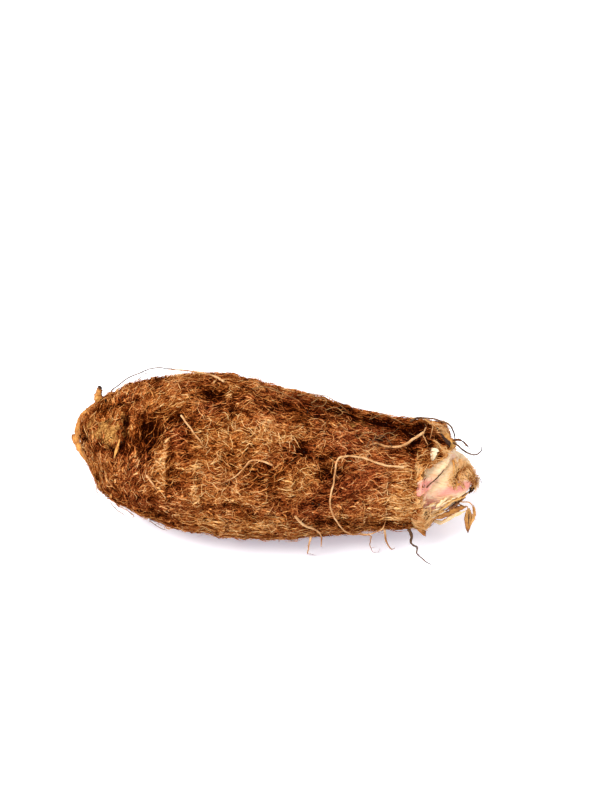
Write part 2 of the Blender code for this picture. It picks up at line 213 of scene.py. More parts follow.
cad_skin = BVHTree.FromPolygons(
    [vertex.co for vertex in CAD_CORM.data.vertices],
    [tuple(face.vertices) for face in CAD_CORM.data.polygons],
)


def cad_point(station, degrees):
    """The CAD skin at a place, found from outside."""
    out = outwards(degrees)
    axis = axis_point(station)
    hit = cad_skin.ray_cast(axis + out * 0.06, -out)[0]
    return hit if hit else axis


print("axis side", round(AXIS_SIDE / MM, 2), "mm, belly height", round(BELLY_HEIGHT / MM, 2), "mm")

# %% [markdown]
# ## The body under the fibres
#
# The body is a closed skin of fine quads. Over the rounded base, rays leave from the middle of the belly,
# so that the quads stay even right up to the tip. Past the belly they are cast ring by ring. The rings end
# at the slanting mouth of the husk, and then turn inwards over its lip and close on the floor of the
# socket. Averaging each point with its neighbours takes the flats of the CAD facets out.

# %% Cast the body's grid
SIDES = 176
BASE_ROWS = 94
TAPER_ROWS = 164
SMOOTHINGS = 10
angles = [360 * side / SIDES - 180 for side in range(SIDES)]


def base_point(row, degrees):
    """A skin point over the base, by a ray from the belly's middle."""
    lean = math.pi / 2 * row / BASE_ROWS
    ray = outwards(degrees) * math.sin(lean) + Vector((-math.cos(lean), 0, 0))
    return cad_skin.ray_cast(axis_point(BELLY_AT), ray)[0]


def taper_point(row, degrees):
    """A skin point between the belly and just short of the mouth."""
    share = 0.997 * row / TAPER_ROWS
    return cad_point(BELLY_AT + (mouth_station(degrees) - BELLY_AT) * share, degrees)


rows = [[base_point(row, a) for a in angles] for row in range(1, BASE_ROWS + 1)]
rows += [[taper_point(row, a) for a in angles] for row in range(1, TAPER_ROWS + 1)]
skin = np.array(rows)
for _ in range(SMOOTHINGS):
    inner = skin[1:-1] * 0.5 + (skin[:-2] + skin[2:]) * 0.25
    skin[1:-1] = inner
    skin = skin * 0.4 + (np.roll(skin, 1, axis=1) + np.roll(skin, -1, axis=1)) * 0.3
print("grid", skin.shape, "lowest", round(skin[..., 2].min() / MM, 2), "mm")

# %% [markdown]
# Dark patches and bare golden ones break up the husk. The dark ones are partly the husk's own colour and
# partly painted shade: in its hollows and creases, on its underside and under the thick root. Each is a soft
# spot with a place, a size both ways and a strength. Their sums are stored on the body as attributes, so
# that the material, the relief and every layer of fibres agree on where they are. The leaf scars are rings
# at stations of their own, 8 to 14 mm apart.

# %% Patches on the husk
RING_STATIONS = (-4, 6, 14, 22, 32, 43.5, 57, 66.5, 74.5, 84, 94, 104, 113, 122, 131, 139, 150)
# Dark spots: partly darker husk, partly painted shade in hollows, on the underside and under the thick root.
DARK_AND_SHADED_SPOTS = (
    (36, 62, 6, 9, 1.2), (35, 46, 4, 12, 1.2), (38, 54, 4, 8, 0.8), (43, 75, 6, 6, 0.8),
    (58, 99, 6, 8, 1.1), (60, 89, 5, 6, 0.5), (53, 69, 5, 6, 0.7), (97, 96, 9, 9, 0.7), (97, 60, 6, 9, 0.6),
    (108, 42, 5, 9, 0.7), (104, 15, 6, 6, 0.6), (110, -7, 7, 6, 1.1), (128, 110, 16, 12, 0.9),
    (110, 116, 14, 12, 0.7), (140, 104, 10, 12, 0.9), (39, -14, 7, 8, 0.9), (4.5, 46, 1.8, 16, 1.2),
    (6.4, 52, 1.6, 9, 1.2), (3, 78, 2, 12, 0.6), (25.5, 66, 1.2, 18, 1.0), (19, 87, 9, 2.5, 1.0),
    (20, 42, 3, 5, 0.8), (17.2, 69, 0.8, 4, 0.7), (14, 44, 1.2, 8, 0.8), (26, 90, 4, 3, 0.7),
    (76, 106, 10, 8, 0.5), (134, -16, 10, 8, 0.9), (127, 82, 3, 5, 0.7), (70, 11, 8, 4, 0.6),
    (88, 20, 5, 6, 0.4), (47, 28, 3, 10, 0.5), (28, 48, 4, 10, 0.5), (119, 26, 4, 7, 0.4),
    (12, 98, 3, 8, 0.6), (84, 92, 6, 7, 0.5), (139, 72, 3, 6, 0.8), (140, 86, 5, 10, 1.0),
    (70, 84, 6, 5, 0.4), (80, 40, 3, 6, 0.4),
)
GOLD_SPOTS = (
    (42, 88, 8, 7, 0.9), (73, 103, 8, 6, 0.6), (17, 62, 7, 18, 0.3), (29.5, 61, 2.5, 8, 0.9),
    (12, 100, 8, 8, 0.8), (76, 61, 9, 10, 0.7), (84, 70, 8, 8, 0.9), (39, 44, 8, 20, 0.5),
    (57, 48, 6, 14, 0.5), (67, 36, 8, 8, 0.7), (64, 17, 8, 7, 0.5), (43, 34, 3, 14, 0.7),
    (91, 30, 5, 9, 0.4), (85, -6, 22, 7, 0.6), (135, 52, 8, 8, 0.6), (136, 22, 12, 16, 1.0),
    (144, 0, 8, 16, 0.9), (110, 83, 6, 6, 0.5), (26, 88, 6, 9, 0.6), (36, 103, 7, 8, 0.6),
    (22, 25, 8, 12, 0.4), (53, 12, 6, 8, 0.4), (57, -6, 12, 8, 0.4), (98, 44, 4, 7, 0.4),
    (120, 60, 5, 6, 0.4), (66, 14, 16, 14, 0.5), (82, -16, 26, 10, 0.5), (114, 4, 9, 14, 0.5),
    (138, 8, 10, 30, 0.7),
)
RUST_SPOTS = (
    (120, 36, 12, 24, 1.0), (112, 72, 14, 14, 0.8), (125, 95, 20, 20, 0.8), (30, 30, 8, 14, 0.6),
    (60, 85, 12, 8, 0.5), (40, 0, 14, 12, 0.6), (105, 14, 10, 16, 0.8), (48, 58, 6, 8, 0.6),
    (75, 8, 20, 8, 0.4), (90, 110, 20, 14, 0.6),
)
BARE_SPOTS = (
    (17.5, 60, 8, 15, 1.3), (9, 74, 3, 14, 0.6), (118, 100, 16, 16, 0.5), (141, 70, 5, 8, 0.6),
    (144.5, 31, 2.2, 8, 1.3), (143.6, 44, 2.0, 8, 1.1),
)


def spots(table, station, degrees):
    """The summed strength of the spots at each place, for arrays of stations and degrees."""
    total = np.zeros(np.broadcast(station, degrees).shape)
    for at, angle, length, width, strength in table:
        turn = (degrees - angle + 180) % 360 - 180
        total += strength * np.exp(-(((station - at) / length) ** 2) - (turn / width) ** 2)
    return np.clip(total, 0, 1.2)


def ripple(places, size):
    """Noise between about -0.5 and 0.5 at each place of an array, with features about size across."""
    flat = np.asarray(places).reshape(-1, 3) / size
    return np.array([noise.noise(Vector(place)) for place in flat]).reshape(np.asarray(places).shape[:-1])


def places_of(points):
    """Stations and degrees of points, from how they lie round the centreline."""
    station = (points[..., 0] - AXIS_START) / MM
    turn = np.maximum(0.0, (station - NECK_AT) / NECK_LENGTH) ** 2
    base = np.maximum(0.0, 1 - station / BELLY_AT) ** 2
    y = (points[..., 1] - AXIS_SIDE) / MM - (NECK_BACK * turn - BASE_FORWARD * base)
    drop = math.tan(SINK) * (station - BELLY_AT) - NECK_RISE * turn
    z = (points[..., 2] - BELLY_HEIGHT) / MM + drop
    return station, np.degrees(np.arctan2(z, -y))


stations, degrees = places_of(skin)
print("dark share", round(float((spots(DARK_AND_SHADED_SPOTS, stations, degrees) > 0.5).mean()), 3))

# %% Close the body
def lip_rows():
    """Rings over the lip of the mouth and down the socket: share of the husk's thickness, and depth."""
    edge = [axis_point(mouth_station(a)) for a in angles]
    for share, back in ((0.15, 0.0), (0.55, -0.25), (1.0, 0.35), (1.05, 1.6), (1.15, 3.5)):
        ring = []
        for side, a in enumerate(angles):
            reach = (Vector(skin[-1, side]) - edge[side]).length - 1.7 * MM * share
            ring.append(edge[side] + Vector((-back * MM, 0, 0)) + outwards(a) * reach)
        yield ring


tip = cad_skin.ray_cast(axis_point(BELLY_AT), Vector((-1, 0, 0)))[0]
rings = [[Vector(point) for point in ring] for ring in skin] + list(lip_rows())
points = [tip] + [point for ring in rings for point in ring] + [axis_point(142.6)]
faces = []
for row in range(len(rings) - 1):
    for side in range(SIDES):
        here, after = 1 + row * SIDES + side, 1 + row * SIDES + (side + 1) % SIDES
        faces.append((here, after, after + SIDES, here + SIDES))
last = 1 + (len(rings) - 1) * SIDES
for side in range(SIDES):
    beside = (side + 1) % SIDES
    faces.append((0, 1 + beside, 1 + side))
    faces.append((len(points) - 1, last + side, last + beside))

body_mesh = bpy.data.meshes.new("corm_body")
body_mesh.from_pydata(points, [], faces)
body_mesh.shade_smooth()
body = bpy.data.objects.new("corm_body", body_mesh)
bpy.context.scene.collection.objects.link(body)
work = bmesh.new()
work.from_mesh(body_mesh)
bmesh.ops.recalc_face_normals(work, faces=work.faces)
work.to_mesh(body_mesh)
work.free()


def store(mesh, name, values):
    """Stores one number per vertex."""
    made = mesh.attributes.new(name, "FLOAT", "POINT")
    made.data.foreach_set("value", np.asarray(values, np.float32).ravel())


all_points = np.array(points)
stations, degrees = places_of(all_points)
store(body_mesh, "station", stations)
# The dark value holds the dark spots: darker husk and painted shade together.
store(body_mesh, "dark", spots(DARK_AND_SHADED_SPOTS, stations, degrees))
store(body_mesh, "gold", spots(GOLD_SPOTS, stations, degrees))
store(body_mesh, "rusty", spots(RUST_SPOTS, stations, degrees))
torn = 1 + 2.2 * ripple(all_points, 0.0035) + 1.6 * ripple(all_points, 0.0013)
bare = spots(BARE_SPOTS, stations, degrees) * torn
store(body_mesh, "cover", 1 - np.clip(bare, 0, 0.9))
tangle = np.interp(stations, (0, 30, 52, 64, 100, 114, 150), (0.25, 0.3, 0.8, 1, 1, 0.55, 0.4))
ringed = np.interp(stations, (0, 26, 36, 60, 76, 150), (0.6, 0.8, 1.2, 1.2, 0.9, 0.7))
store(body_mesh, "ringed", ringed)
store(body_mesh, "tangled", np.clip(tangle + 0.9 * ripple(all_points, 0.009), 0.05, 1))
round_base = 1 / (1 + np.exp((stations - 40) / 6))
store(body_mesh, "combed", np.clip((stations - 118) / 16, 0, 1))
store(body_mesh, "flow", round_base * math.pi / 2)
store(body_mesh, "ring_count", np.interp(stations, RING_STATIONS, range(len(RING_STATIONS))))
print("body:", len(points), "points", len(faces), "faces")

# %% [markdown]
# ## A short way to write node trees
#
# Geometry Nodes and materials are both node trees. The class below adds a node, sets its properties, and
# links or fills its inputs in one call, so that a tree reads from top to bottom like the formula that it
# is. Its sockets are named, or numbered where a node has several sockets of one name.

# %% Node tree helper
class Tree:
    """A node tree being written. Calling it adds a node and returns that node's first working output."""

    def __init__(self, nodes):
        self.tree = nodes

    def node(self, kind, inputs=None, **settings):
        made = self.tree.nodes.new(kind)
        for name, value in settings.items():
            setattr(made, name, value)
        for key, value in (inputs or {}).items():
            socket = made.inputs[key]
            if isinstance(value, bpy.types.NodeSocket):
                self.tree.links.new(value, socket)
            else:
                socket.default_value = value
        return made

    def __call__(self, kind, inputs=None, out=None, **settings):
        outputs = self.node(kind, inputs, **settings).outputs
        if out is not None:
            return outputs[out]
        return next(socket for socket in outputs if socket.enabled)

    def math(self, operation, *values):
        return self("ShaderNodeMath", dict(enumerate(values)), operation=operation)

    def vector(self, operation, *values):
        out = "Value" if operation in ("DOT_PRODUCT", "LENGTH", "DISTANCE") else "Vector"
        return self("ShaderNodeVectorMath", dict(enumerate(values)), out, operation=operation)

    def scaled(self, vector, amount):
        return self("ShaderNodeVectorMath", {0: vector, "Scale": amount}, operation="SCALE")

    def mix(self, share, low, high):
        """A number between low and high."""
        return self("ShaderNodeMix", {0: share, 2: low, 3: high}, data_type="FLOAT")

    def noise(self, place, size, detail=2.0, stretch=None, **inputs):
        """Noise from 0 to 1, its features about size across in metres, drawn out by stretch on each axis."""
        ratio = stretch or (1, 1, 1)
        scale = tuple(1 / (size * part) for part in ratio)
        at = self.vector("MULTIPLY", place, scale)
        named = {"Vector": at, "Scale": 1.0, "Detail": detail, **inputs}
        if "W" in inputs:
            return self("ShaderNodeTexNoise", named, 0, noise_dimensions="4D")
        return self("ShaderNodeTexNoise", named, 0)

    def between(self, value, low, high, most=1.0):
        """0 at low, most at high, and in proportion between them."""
        return self(
            "ShaderNodeMapRange", {"Value": value, "From Min": low, "From Max": high, "To Max": most},
        )

    def link(self, output, socket):
        self.tree.links.new(output, socket)

    def times(self, first, second):
        return self.math("MULTIPLY", first, second)

    def minus(self, first, second):
        return self.math("SUBTRACT", first, second)

    def sum(self, *values):
        total = values[0]
        for value in values[1:]:
            total = self.math("ADD", total, value)
        return total

    def read(self, name, kind="FLOAT"):
        """A value stored on the mesh."""
        if self.tree.type == "SHADER":
            return self("ShaderNodeAttribute", out="Fac", attribute_name=name)
        return self("GeometryNodeInputNamedAttribute", {"Name": name}, data_type=kind)

    def stored(self, geometry, name, value, kind="FLOAT", domain="POINT"):
        """The geometry with a value stored on it."""
        inputs = {"Geometry": geometry, "Name": name, "Value": value}
        return self("GeometryNodeStoreNamedAttribute", inputs, data_type=kind, domain=domain)

    def chance(self, low, high, identity, seed):
        """A random number that is the same for every point of one identity."""
        inputs = {2: low, 3: high, 7: identity, 8: seed}
        return self("FunctionNodeRandomValue", inputs, 1, data_type="FLOAT")


def geometry_tree(name, sizes):
    """An empty geometry tree with named number inputs: (tree helper, group input node, output socket)."""
    nodes = bpy.data.node_groups.new(name, "GeometryNodeTree")
    nodes.interface.new_socket("Geometry", in_out="INPUT", socket_type="NodeSocketGeometry")
    nodes.interface.new_socket("Geometry", in_out="OUTPUT", socket_type="NodeSocketGeometry")
    for label, start in sizes.items():
        kind = "NodeSocketInt" if isinstance(start, int) else "NodeSocketFloat"
        nodes.interface.new_socket(label, in_out="INPUT", socket_type=kind).default_value = start
    made = Tree(nodes)
    return made, made.node("NodeGroupInput").outputs, made.node("NodeGroupOutput").inputs[0]


def applied(source, nodes, name, sizes=None, keep=("shade", "rust")):
    """A plain mesh object: what a geometry tree makes of source, with few of its attributes kept."""
    holder = bpy.data.objects.new(name + "_holder", source.data.copy())
    bpy.context.scene.collection.objects.link(holder)
    modifier = holder.modifiers.new(name, "NODES")
    modifier.node_group = nodes
    for item in nodes.interface.items_tree:
        if item.item_type == "SOCKET" and item.in_out == "INPUT" and item.name in (sizes or {}):
            modifier[item.identifier] = sizes[item.name]
    bpy.context.view_layer.update()
    shown = holder.evaluated_get(bpy.context.evaluated_depsgraph_get())
    mesh = bpy.data.meshes.new_from_object(shown)
    mesh.name = name
    for label in [attribute.name for attribute in mesh.attributes]:
        if not mesh.attributes[label].is_required and not label.startswith(".") and label not in keep:
            if label not in mesh.uv_layers:
                mesh.attributes.remove(mesh.attributes[label])
    bpy.data.objects.remove(holder)
    made = bpy.data.objects.new(name, mesh)
    bpy.context.scene.collection.objects.link(made)
    return made


def triangles(piece):
    return sum(len(face.vertices) - 2 for face in piece.data.polygons)


print("helpers ready")

# %% [markdown]
# ## Relief of the body
#
# Old leaf bases leave a ring of overlapping skin every 8 to 14 mm: it rises slowly and ends in a small step
# towards the shoot. Soft lumps, fibre bundles that run along the corm, and pits at the dark spots lie over
# the rings. A short geometry tree moves each point along its normal by the sum of these, and keeps the
# underside flat.
#
# The same tree stores what the colours need: the tone of each place, and how rusty it is. The tone is the
# rings, the spots and cloudy patches together, and much of it is painted light: a highlight along each
# ring's step with a shadow just below it, lighter raised fibre bundles with darker grooves between them
# where the husk is combed, and the painted shade of the dark spots. The skin and all the fibres read these
# two, so the layers agree.

# %% Relief tree
relief, sizes, relief_out = geometry_tree(
    "relief",
    {
        "Ring height": 0.0006, "Ring wander": 0.95, "Lump height": 0.0009, "Bundle height": 0.0005,
        "Pit depth": 0.0017,
    },
)
place = relief("GeometryNodeInputPosition")
wander = relief.minus(relief.noise(place, 0.008, detail=3.0), 0.5)
wander = relief.times(wander, sizes["Ring wander"])
phase = relief.math("FRACT", relief.sum(relief.read("ring_count"), wander))
# edge is a painted highlight along the raised step of each ring, and line a painted shadow just after it.
edge = relief.between(phase, 0.80, 0.94)
line = relief.between(phase, 0.24, 0.05)
step = relief.math("MINIMUM", phase, relief.times(relief.minus(1.0, phase), 8.0))
ring = relief.times(step, sizes["Ring height"])
lumps = relief.minus(relief.noise(place, 0.012, detail=3.0), 0.5)
lump = relief.times(lumps, relief.times(sizes["Lump height"], 2.0))
bundles = relief.minus(relief.noise(place, 0.0016, detail=2.0, stretch=(5, 1, 1), Distortion=0.6), 0.5)
bundle = relief.times(bundles, sizes["Bundle height"])
pit = relief.times(relief.read("dark"), sizes["Pit depth"])
height = relief.minus(relief.sum(ring, lump, bundle), pit)
inside_mouth = relief.math("GREATER_THAN", relief.read("station"), 141.0)
height = relief.times(height, relief.mix(inside_mouth, 1.0, 0.35))
height = relief.minus(height, 0.0004)

ring_strength = relief.between(relief.noise(place, 0.007, detail=1.0, W=2.0), 0.45, 0.66)
ring_light_and_shadow = relief.minus(relief.times(edge, 0.26), relief.times(line, 0.24))
patch = relief.minus(relief.noise(place, 0.0036, detail=2.5), 0.5)
broad = relief.minus(relief.noise(place, 0.016, detail=1.0, W=5.0), 0.5)
clumps = relief.minus(relief.noise(place, 0.0012, detail=1.0, stretch=(2, 1, 1), W=9.0), 0.5)
tone = relief.sum(
    relief.times(relief.times(ring_light_and_shadow, ring_strength), relief.read("ringed")),
    relief.times(patch, relief.mix(relief.read("combed"), 0.85, 0.3)),
    relief.times(broad, 0.3),
    relief.times(clumps, 0.8),
    # Raised fibre bundles lighter and the grooves between them darker: painted shade where combed.
    relief.times(relief.times(bundles, relief.read("combed")), 0.6),
    relief.times(relief.read("gold"), 0.22),
    # Painted shade at the dark spots, together with their darker husk.
    relief.times(relief.read("dark"), -0.42),
)
cloud = relief.between(relief.noise(place, 0.013), 0.35, 0.65)
rust = relief.sum(
    relief.times(cloud, 0.6),
    relief.times(relief.read("rusty"), 0.7),
    relief.times(relief.read("gold"), -0.3),
)
marked = relief.stored(sizes["Geometry"], "tone", tone)
marked = relief.stored(marked, "rust", rust)
marked = relief.stored(marked, "ring_edge", relief.times(edge, ring_strength))
shaped = relief("GeometryNodeSetPosition", {
    "Geometry": marked, "Offset": relief.scaled(relief("GeometryNodeInputNormal"), height),
})
floor_limit = relief.vector("MAXIMUM", relief("GeometryNodeInputPosition"), (-1.0, -1.0, FLOOR_GAP))
laid = relief("GeometryNodeSetPosition", {"Geometry": shaped, "Position": floor_limit})
relief.link(laid, relief_out)

BODY_VALUES = ("station", "tone", "rust", "cover", "tangled", "flow", "combed", "ring_edge")
raw_body = body
body = applied(raw_body, relief.tree, "corm_body", keep=BODY_VALUES)
bpy.data.objects.remove(raw_body)
print("body after relief:", triangles(body), "triangles, box", [round(v / MM, 1) for v in body.dimensions])

# %% [markdown]
# ## Colour of the husk
#
# The skin and its fibres share two ranges of colour, a golden one and a rusty one, each from nearly black,
# which paints the shade in the hollows, to pale at the top. Each surface works out a shade from 0 to 1 and
# how rusty it is, and looks both ranges up, so the layers agree. Where the fibres have worn off, the bark
# below shows in a duller tan.

# %% The ranges of husk colour
GOLDEN = (
    (0.00, (0.010, 0.0015, 0.0002)),
    (0.20, (0.082, 0.0130, 0.0012)),
    (0.42, (0.280, 0.070, 0.012)),
    (0.62, (0.545, 0.195, 0.046)),
    (0.82, (0.720, 0.360, 0.110)),
    (1.00, (0.850, 0.590, 0.290)),
)
RUSTY = (
    (0.00, (0.009, 0.0012, 0.0006)),
    (0.20, (0.070, 0.009, 0.002)),
    (0.42, (0.240, 0.045, 0.011)),
    (0.62, (0.485, 0.130, 0.038)),
    (0.82, (0.685, 0.275, 0.085)),
    (1.00, (0.830, 0.510, 0.250)),
)
BARK = (
    (0.00, (0.070, 0.018, 0.003)),
    (0.45, (0.280, 0.120, 0.030)),
    (0.75, (0.400, 0.190, 0.050)),
    (1.00, (0.580, 0.340, 0.110)),
)


def material_tree(name):
    """A new node material: the material, its tree helper, and its Principled shader's inputs."""
    made = bpy.data.materials.new(name)
    made.use_nodes = True
    return made, Tree(made.node_tree), made.node_tree.nodes["Principled BSDF"].inputs


def ramp(tree, shade, colours):
    """The colour at a shade from 0 to 1."""
    node = tree.node("ShaderNodeValToRGB", {"Fac": shade})
    elements = node.color_ramp.elements
    while len(elements) < len(colours):
        elements.new(0.5)
    for element, (at, colour) in zip(elements, colours):
        element.position = at
        element.color = (*colour, 1)
    return node.outputs["Color"]


def colour_mix(tree, share, low, high):
    """A colour between two."""
    inputs = {0: share, 6: low, 7: high}
    return tree("ShaderNodeMix", inputs, 2, data_type="RGBA")


def husk_colour(tree, shade, rust):
    return colour_mix(tree, rust, ramp(tree, shade, GOLDEN), ramp(tree, shade, RUSTY))


def finished_skin(tree, inputs, colour, share, smooth, rough, shine):
    """Gives the shader a colour, a roughness that share moves between two, and a shine."""
    tree.link(colour, inputs["Base Color"])
    tree.link(tree.mix(share, smooth, rough), inputs["Roughness"])
    inputs["Specular IOR Level"].default_value = shine


def bumped(tree, inputs, height, distance):
    """Gives the shader a bump of this height, whose full range is distance in metres."""
    bump = tree("ShaderNodeBump", {"Strength": 1.0, "Distance": distance, "Height": height})
    tree.link(bump, inputs["Normal"])


husk_skin, tree, shader = material_tree("husk_skin")
place = tree("ShaderNodeTexCoord", out="Object")
turned = tree("ShaderNodeMapping", {"Vector": place, "Rotation": (0.3, 0.7, 0.9)})
fine = tree.noise(place, 0.00040, detail=3.0, stretch=(4, 1, 1), Distortion=0.8)
cross = tree.noise(turned, 0.00045, 3.0, (4, 1, 1))
bare = tree.minus(1.0, tree.read("cover"))
grain = tree.minus(tree.sum(fine, cross), 1.0)
grain = tree.times(grain, tree.mix(bare, 1.3, 1.0))
# The skin starts dark, partly as painted shade in the gaps between the fibres over it.
shade = tree.sum(0.28, grain, tree.read("tone"))
matted = husk_colour(tree, shade, tree.read("rust"))
cracks = tree(
    "ShaderNodeTexVoronoi", {"Vector": place, "Scale": 420.0}, "Distance", feature="DISTANCE_TO_EDGE",
)
cracks = tree("ShaderNodeMapRange", {"Value": cracks, "From Max": 0.10, "To Min": -0.38, "To Max": 0.0})
bark_shade = tree.sum(0.50, cracks, tree.times(grain, 1.3), tree.times(tree.read("tone"), 1.3))
is_bare = tree.between(bare, 0.35, 0.75)
colour = colour_mix(tree, is_bare, matted, ramp(tree, bark_shade, BARK))
finished_skin(tree, shader, colour, fine, 0.6, 0.95, 0.0)
bumped(tree, shader, tree.sum(fine, cross), 0.0005)
body.data.materials.append(husk_skin)
print("husk colours:", len(GOLDEN) + len(RUSTY))

# %% [markdown]
# ## Fibres
#
# The husk is a tangle of fibres, each about a quarter of a millimetre across. Particle hair would be lost
# in the export, so the fibres are real thin tubes, made by one geometry tree that is used for every layer.
# It scatters roots over the body, makes a short row of points at each, bends the row, lays it on the skin
# at a small height, and skins it with a three-sided tube. The layers differ only in the named inputs: how
# many, how long, how thick, which way they run and how tangled they are.
#
# The fibre's direction is an angle from the corm's length. The stored flow is the mean angle, and swirl
# turns it slowly from place to place, so that neighbours lie side by side in small combed patches, as
# matted fibre does.

# %% Fibre tree: roots
FIBRE_SIDES = 3
fibres, sizes, fibres_out = geometry_tree("fibres", {
    "Density": 100000.0, "Length": 0.008, "Radius": 0.00016, "Lift": 0.0003, "Raise": 0.001,
    "Turn": 0.0, "Swirl": 1.0, "Scatter": 0.6, "Bend": 0.8, "Wave": 0.04, "Rarity": 4.0, "Flatness": 0.0,
    "On rings": 0.0, "In tangles": 0.0, "In smooth parts": 0.0, "Shade": 0.5, "Points": 5, "Seed": 1,
})
place = fibres("GeometryNodeInputPosition")
above_floor = fibres.between(fibres("ShaderNodeSeparateXYZ", {"Vector": place}, "Z"), 0.0005, 0.003)
wanted = fibres.times(above_floor, fibres.read("cover"))
wanted = fibres.times(wanted, fibres.mix(sizes["On rings"], 1.0, fibres.read("ring_edge")))
smooth = fibres.minus(1.0, fibres.read("tangled"))
wanted = fibres.times(wanted, fibres.mix(sizes["In tangles"], 1.0, fibres.read("tangled")))
wanted = fibres.times(wanted, fibres.mix(sizes["In smooth parts"], 1.0, smooth))
wanted = fibres.times(sizes["Density"], wanted)
scatter = fibres.node("GeometryNodeDistributePointsOnFaces", {
    "Mesh": sizes["Geometry"], "Density": wanted, "Seed": sizes["Seed"],
})
roots = fibres.stored(scatter.outputs["Points"], "fibre", fibres("GeometryNodeInputIndex"), "INT")
roots = fibres.stored(roots, "root_normal", scatter.outputs["Normal"], "FLOAT_VECTOR")

fibre = fibres.read("fibre", "INT")
up = fibres.read("root_normal", "FLOAT_VECTOR")
lean = fibres.scaled(up, fibres.vector("DOT_PRODUCT", up, (1.0, 0.0, 0.0)))
straight = fibres.vector("NORMALIZE", fibres.vector("SUBTRACT", (1.0, 0.0, 0.0), lean))
swirl = fibres.noise(place, 0.008, detail=1.0, W=fibres.times(sizes["Seed"], 3.7))
swirl = fibres.times(fibres.minus(swirl, 0.5), 7.0)
tangle = fibres.sum(
    fibres.times(swirl, sizes["Swirl"]),
    fibres.times(fibres.chance(-1.0, 1.0, fibre, 11), sizes["Scatter"]),
)
tangle = fibres.times(tangle, fibres.mix(fibres.read("combed"), 1.0, 0.4))
turn = fibres.sum(sizes["Turn"], fibres.read("flow"), tangle)
heading = fibres("ShaderNodeVectorRotate", {"Vector": straight, "Axis": up, "Angle": turn})
roots = fibres.stored(roots, "heading", heading, "FLOAT_VECTOR")

roots = fibres.stored(roots, "own_shade", fibres.sum(sizes["Shade"], fibres.chance(-0.40, 0.31, fibre, 12)))
roots = fibres.stored(roots, "rust", fibres.sum(fibres.read("rust"), fibres.chance(-0.3, 0.3, fibre, 19)))
print("root nodes:", len(fibres.tree.nodes))

# %% Fibre tree: a bent row of points laid on the skin
rows = fibres.node(
    "GeometryNodeDuplicateElements", {"Geometry": roots, "Amount": sizes["Points"]}, domain="POINT",
)
share = fibres.math("DIVIDE", rows.outputs["Duplicate Index"], fibres.minus(sizes["Points"], 1.0))
row = fibres.stored(rows.outputs["Geometry"], "along", share)
along = fibres.read("along")
centred = fibres.minus(along, 0.5)
length = fibres.times(sizes["Length"], fibres.chance(0.55, 1.35, fibre, 13))
bend = fibres.sum(fibres.times(sizes["Bend"], fibres.chance(-1.0, 1.0, fibre, 14)), 0.001)
arc = fibres.times(bend, centred)
arc_radius = fibres.math("DIVIDE", length, bend)
forward = fibres.times(fibres.math("SINE", arc), arc_radius)
sideways = fibres.times(fibres.minus(1.0, fibres.math("COSINE", arc)), arc_radius)
wave_at = fibres.sum(fibres.times(along, 7.0), fibres.chance(0.0, 6.28, fibre, 15))
wave = fibres.times(fibres.times(sizes["Wave"], length), fibres.math("SINE", wave_at))
heading = fibres.read("heading", "FLOAT_VECTOR")
aside = fibres.vector("CROSS_PRODUCT", up, heading)
spot = fibres.vector("ADD", place, fibres.scaled(heading, forward))
spot = fibres.vector("ADD", spot, fibres.scaled(aside, fibres.sum(sideways, wave)))

below = fibres("GeometryNodeProximity", {0: sizes["Geometry"], "Sample Position": spot}, "Position")
skin_normal = fibres("GeometryNodeSampleNearestSurface", {
    "Mesh": sizes["Geometry"], "Value": fibres("GeometryNodeInputNormal"), "Sample Position": spot,
}, data_type="FLOAT_VECTOR")
tone = fibres("GeometryNodeSampleNearestSurface", {
    "Mesh": sizes["Geometry"], "Value": fibres.read("tone"), "Sample Position": spot,
}, data_type="FLOAT")
shade = fibres.sum(fibres.read("own_shade"), tone)
freedom = fibres.math("POWER", fibres.chance(0.0, 1.0, fibre, 16), sizes["Rarity"])
free_end = fibres.times(fibres.math("POWER", along, 2.0), fibres.times(freedom, sizes["Raise"]))
rest = fibres.times(sizes["Lift"], fibres.chance(0.0, 1.0, fibre, 17))
# Darker fibres lie lower, nearer the skin, and paler ones higher: painted shade in the depth of the mat.
brighter = fibres.times(fibres.minus(shade, 0.4), sizes["Lift"])
sway = fibres.times(fibres.math("SINE", fibres.times(wave_at, 1.3)), 0.00015)
laid = fibres.vector("ADD", below, fibres.scaled(skin_normal, fibres.sum(rest, brighter, free_end, sway)))
laid = fibres.vector("MAXIMUM", laid, (-1.0, -1.0, 0.0004))
row = fibres.stored(fibres.stored(row, "shade", shade), "skin_up", skin_normal, "FLOAT_VECTOR")
row = fibres("GeometryNodeSetPosition", {"Geometry": row, "Position": laid})
row = fibres.stored(row, "spine", place, "FLOAT_VECTOR")
print("nodes so far:", len(fibres.tree.nodes))

# %% [markdown]
# The finished tree would bake badly on an automatic map, because a layer has many thousands of narrow
# faces. The tree also stores a map of its own, in which each of a layer's many thousands of narrow faces
# has one small square cell of the sheet.

# %% Fibre tree: the tube and its map
def skinned(tree, row, group, along, girth, sides):
    """Tubes of this girth through the rows of points."""
    curves = tree("GeometryNodePointsToCurves", {"Points": row, "Curve Group ID": group, "Weight": along})
    ring = tree("GeometryNodeCurvePrimitiveCircle", {"Resolution": sides, "Radius": 1.0})
    inputs = {"Curve": curves, "Profile Curve": ring, "Scale": girth, "Fill Caps": True}
    return tree("GeometryNodeSetShadeSmooth", {"Geometry": tree("GeometryNodeCurveToMesh", inputs)})


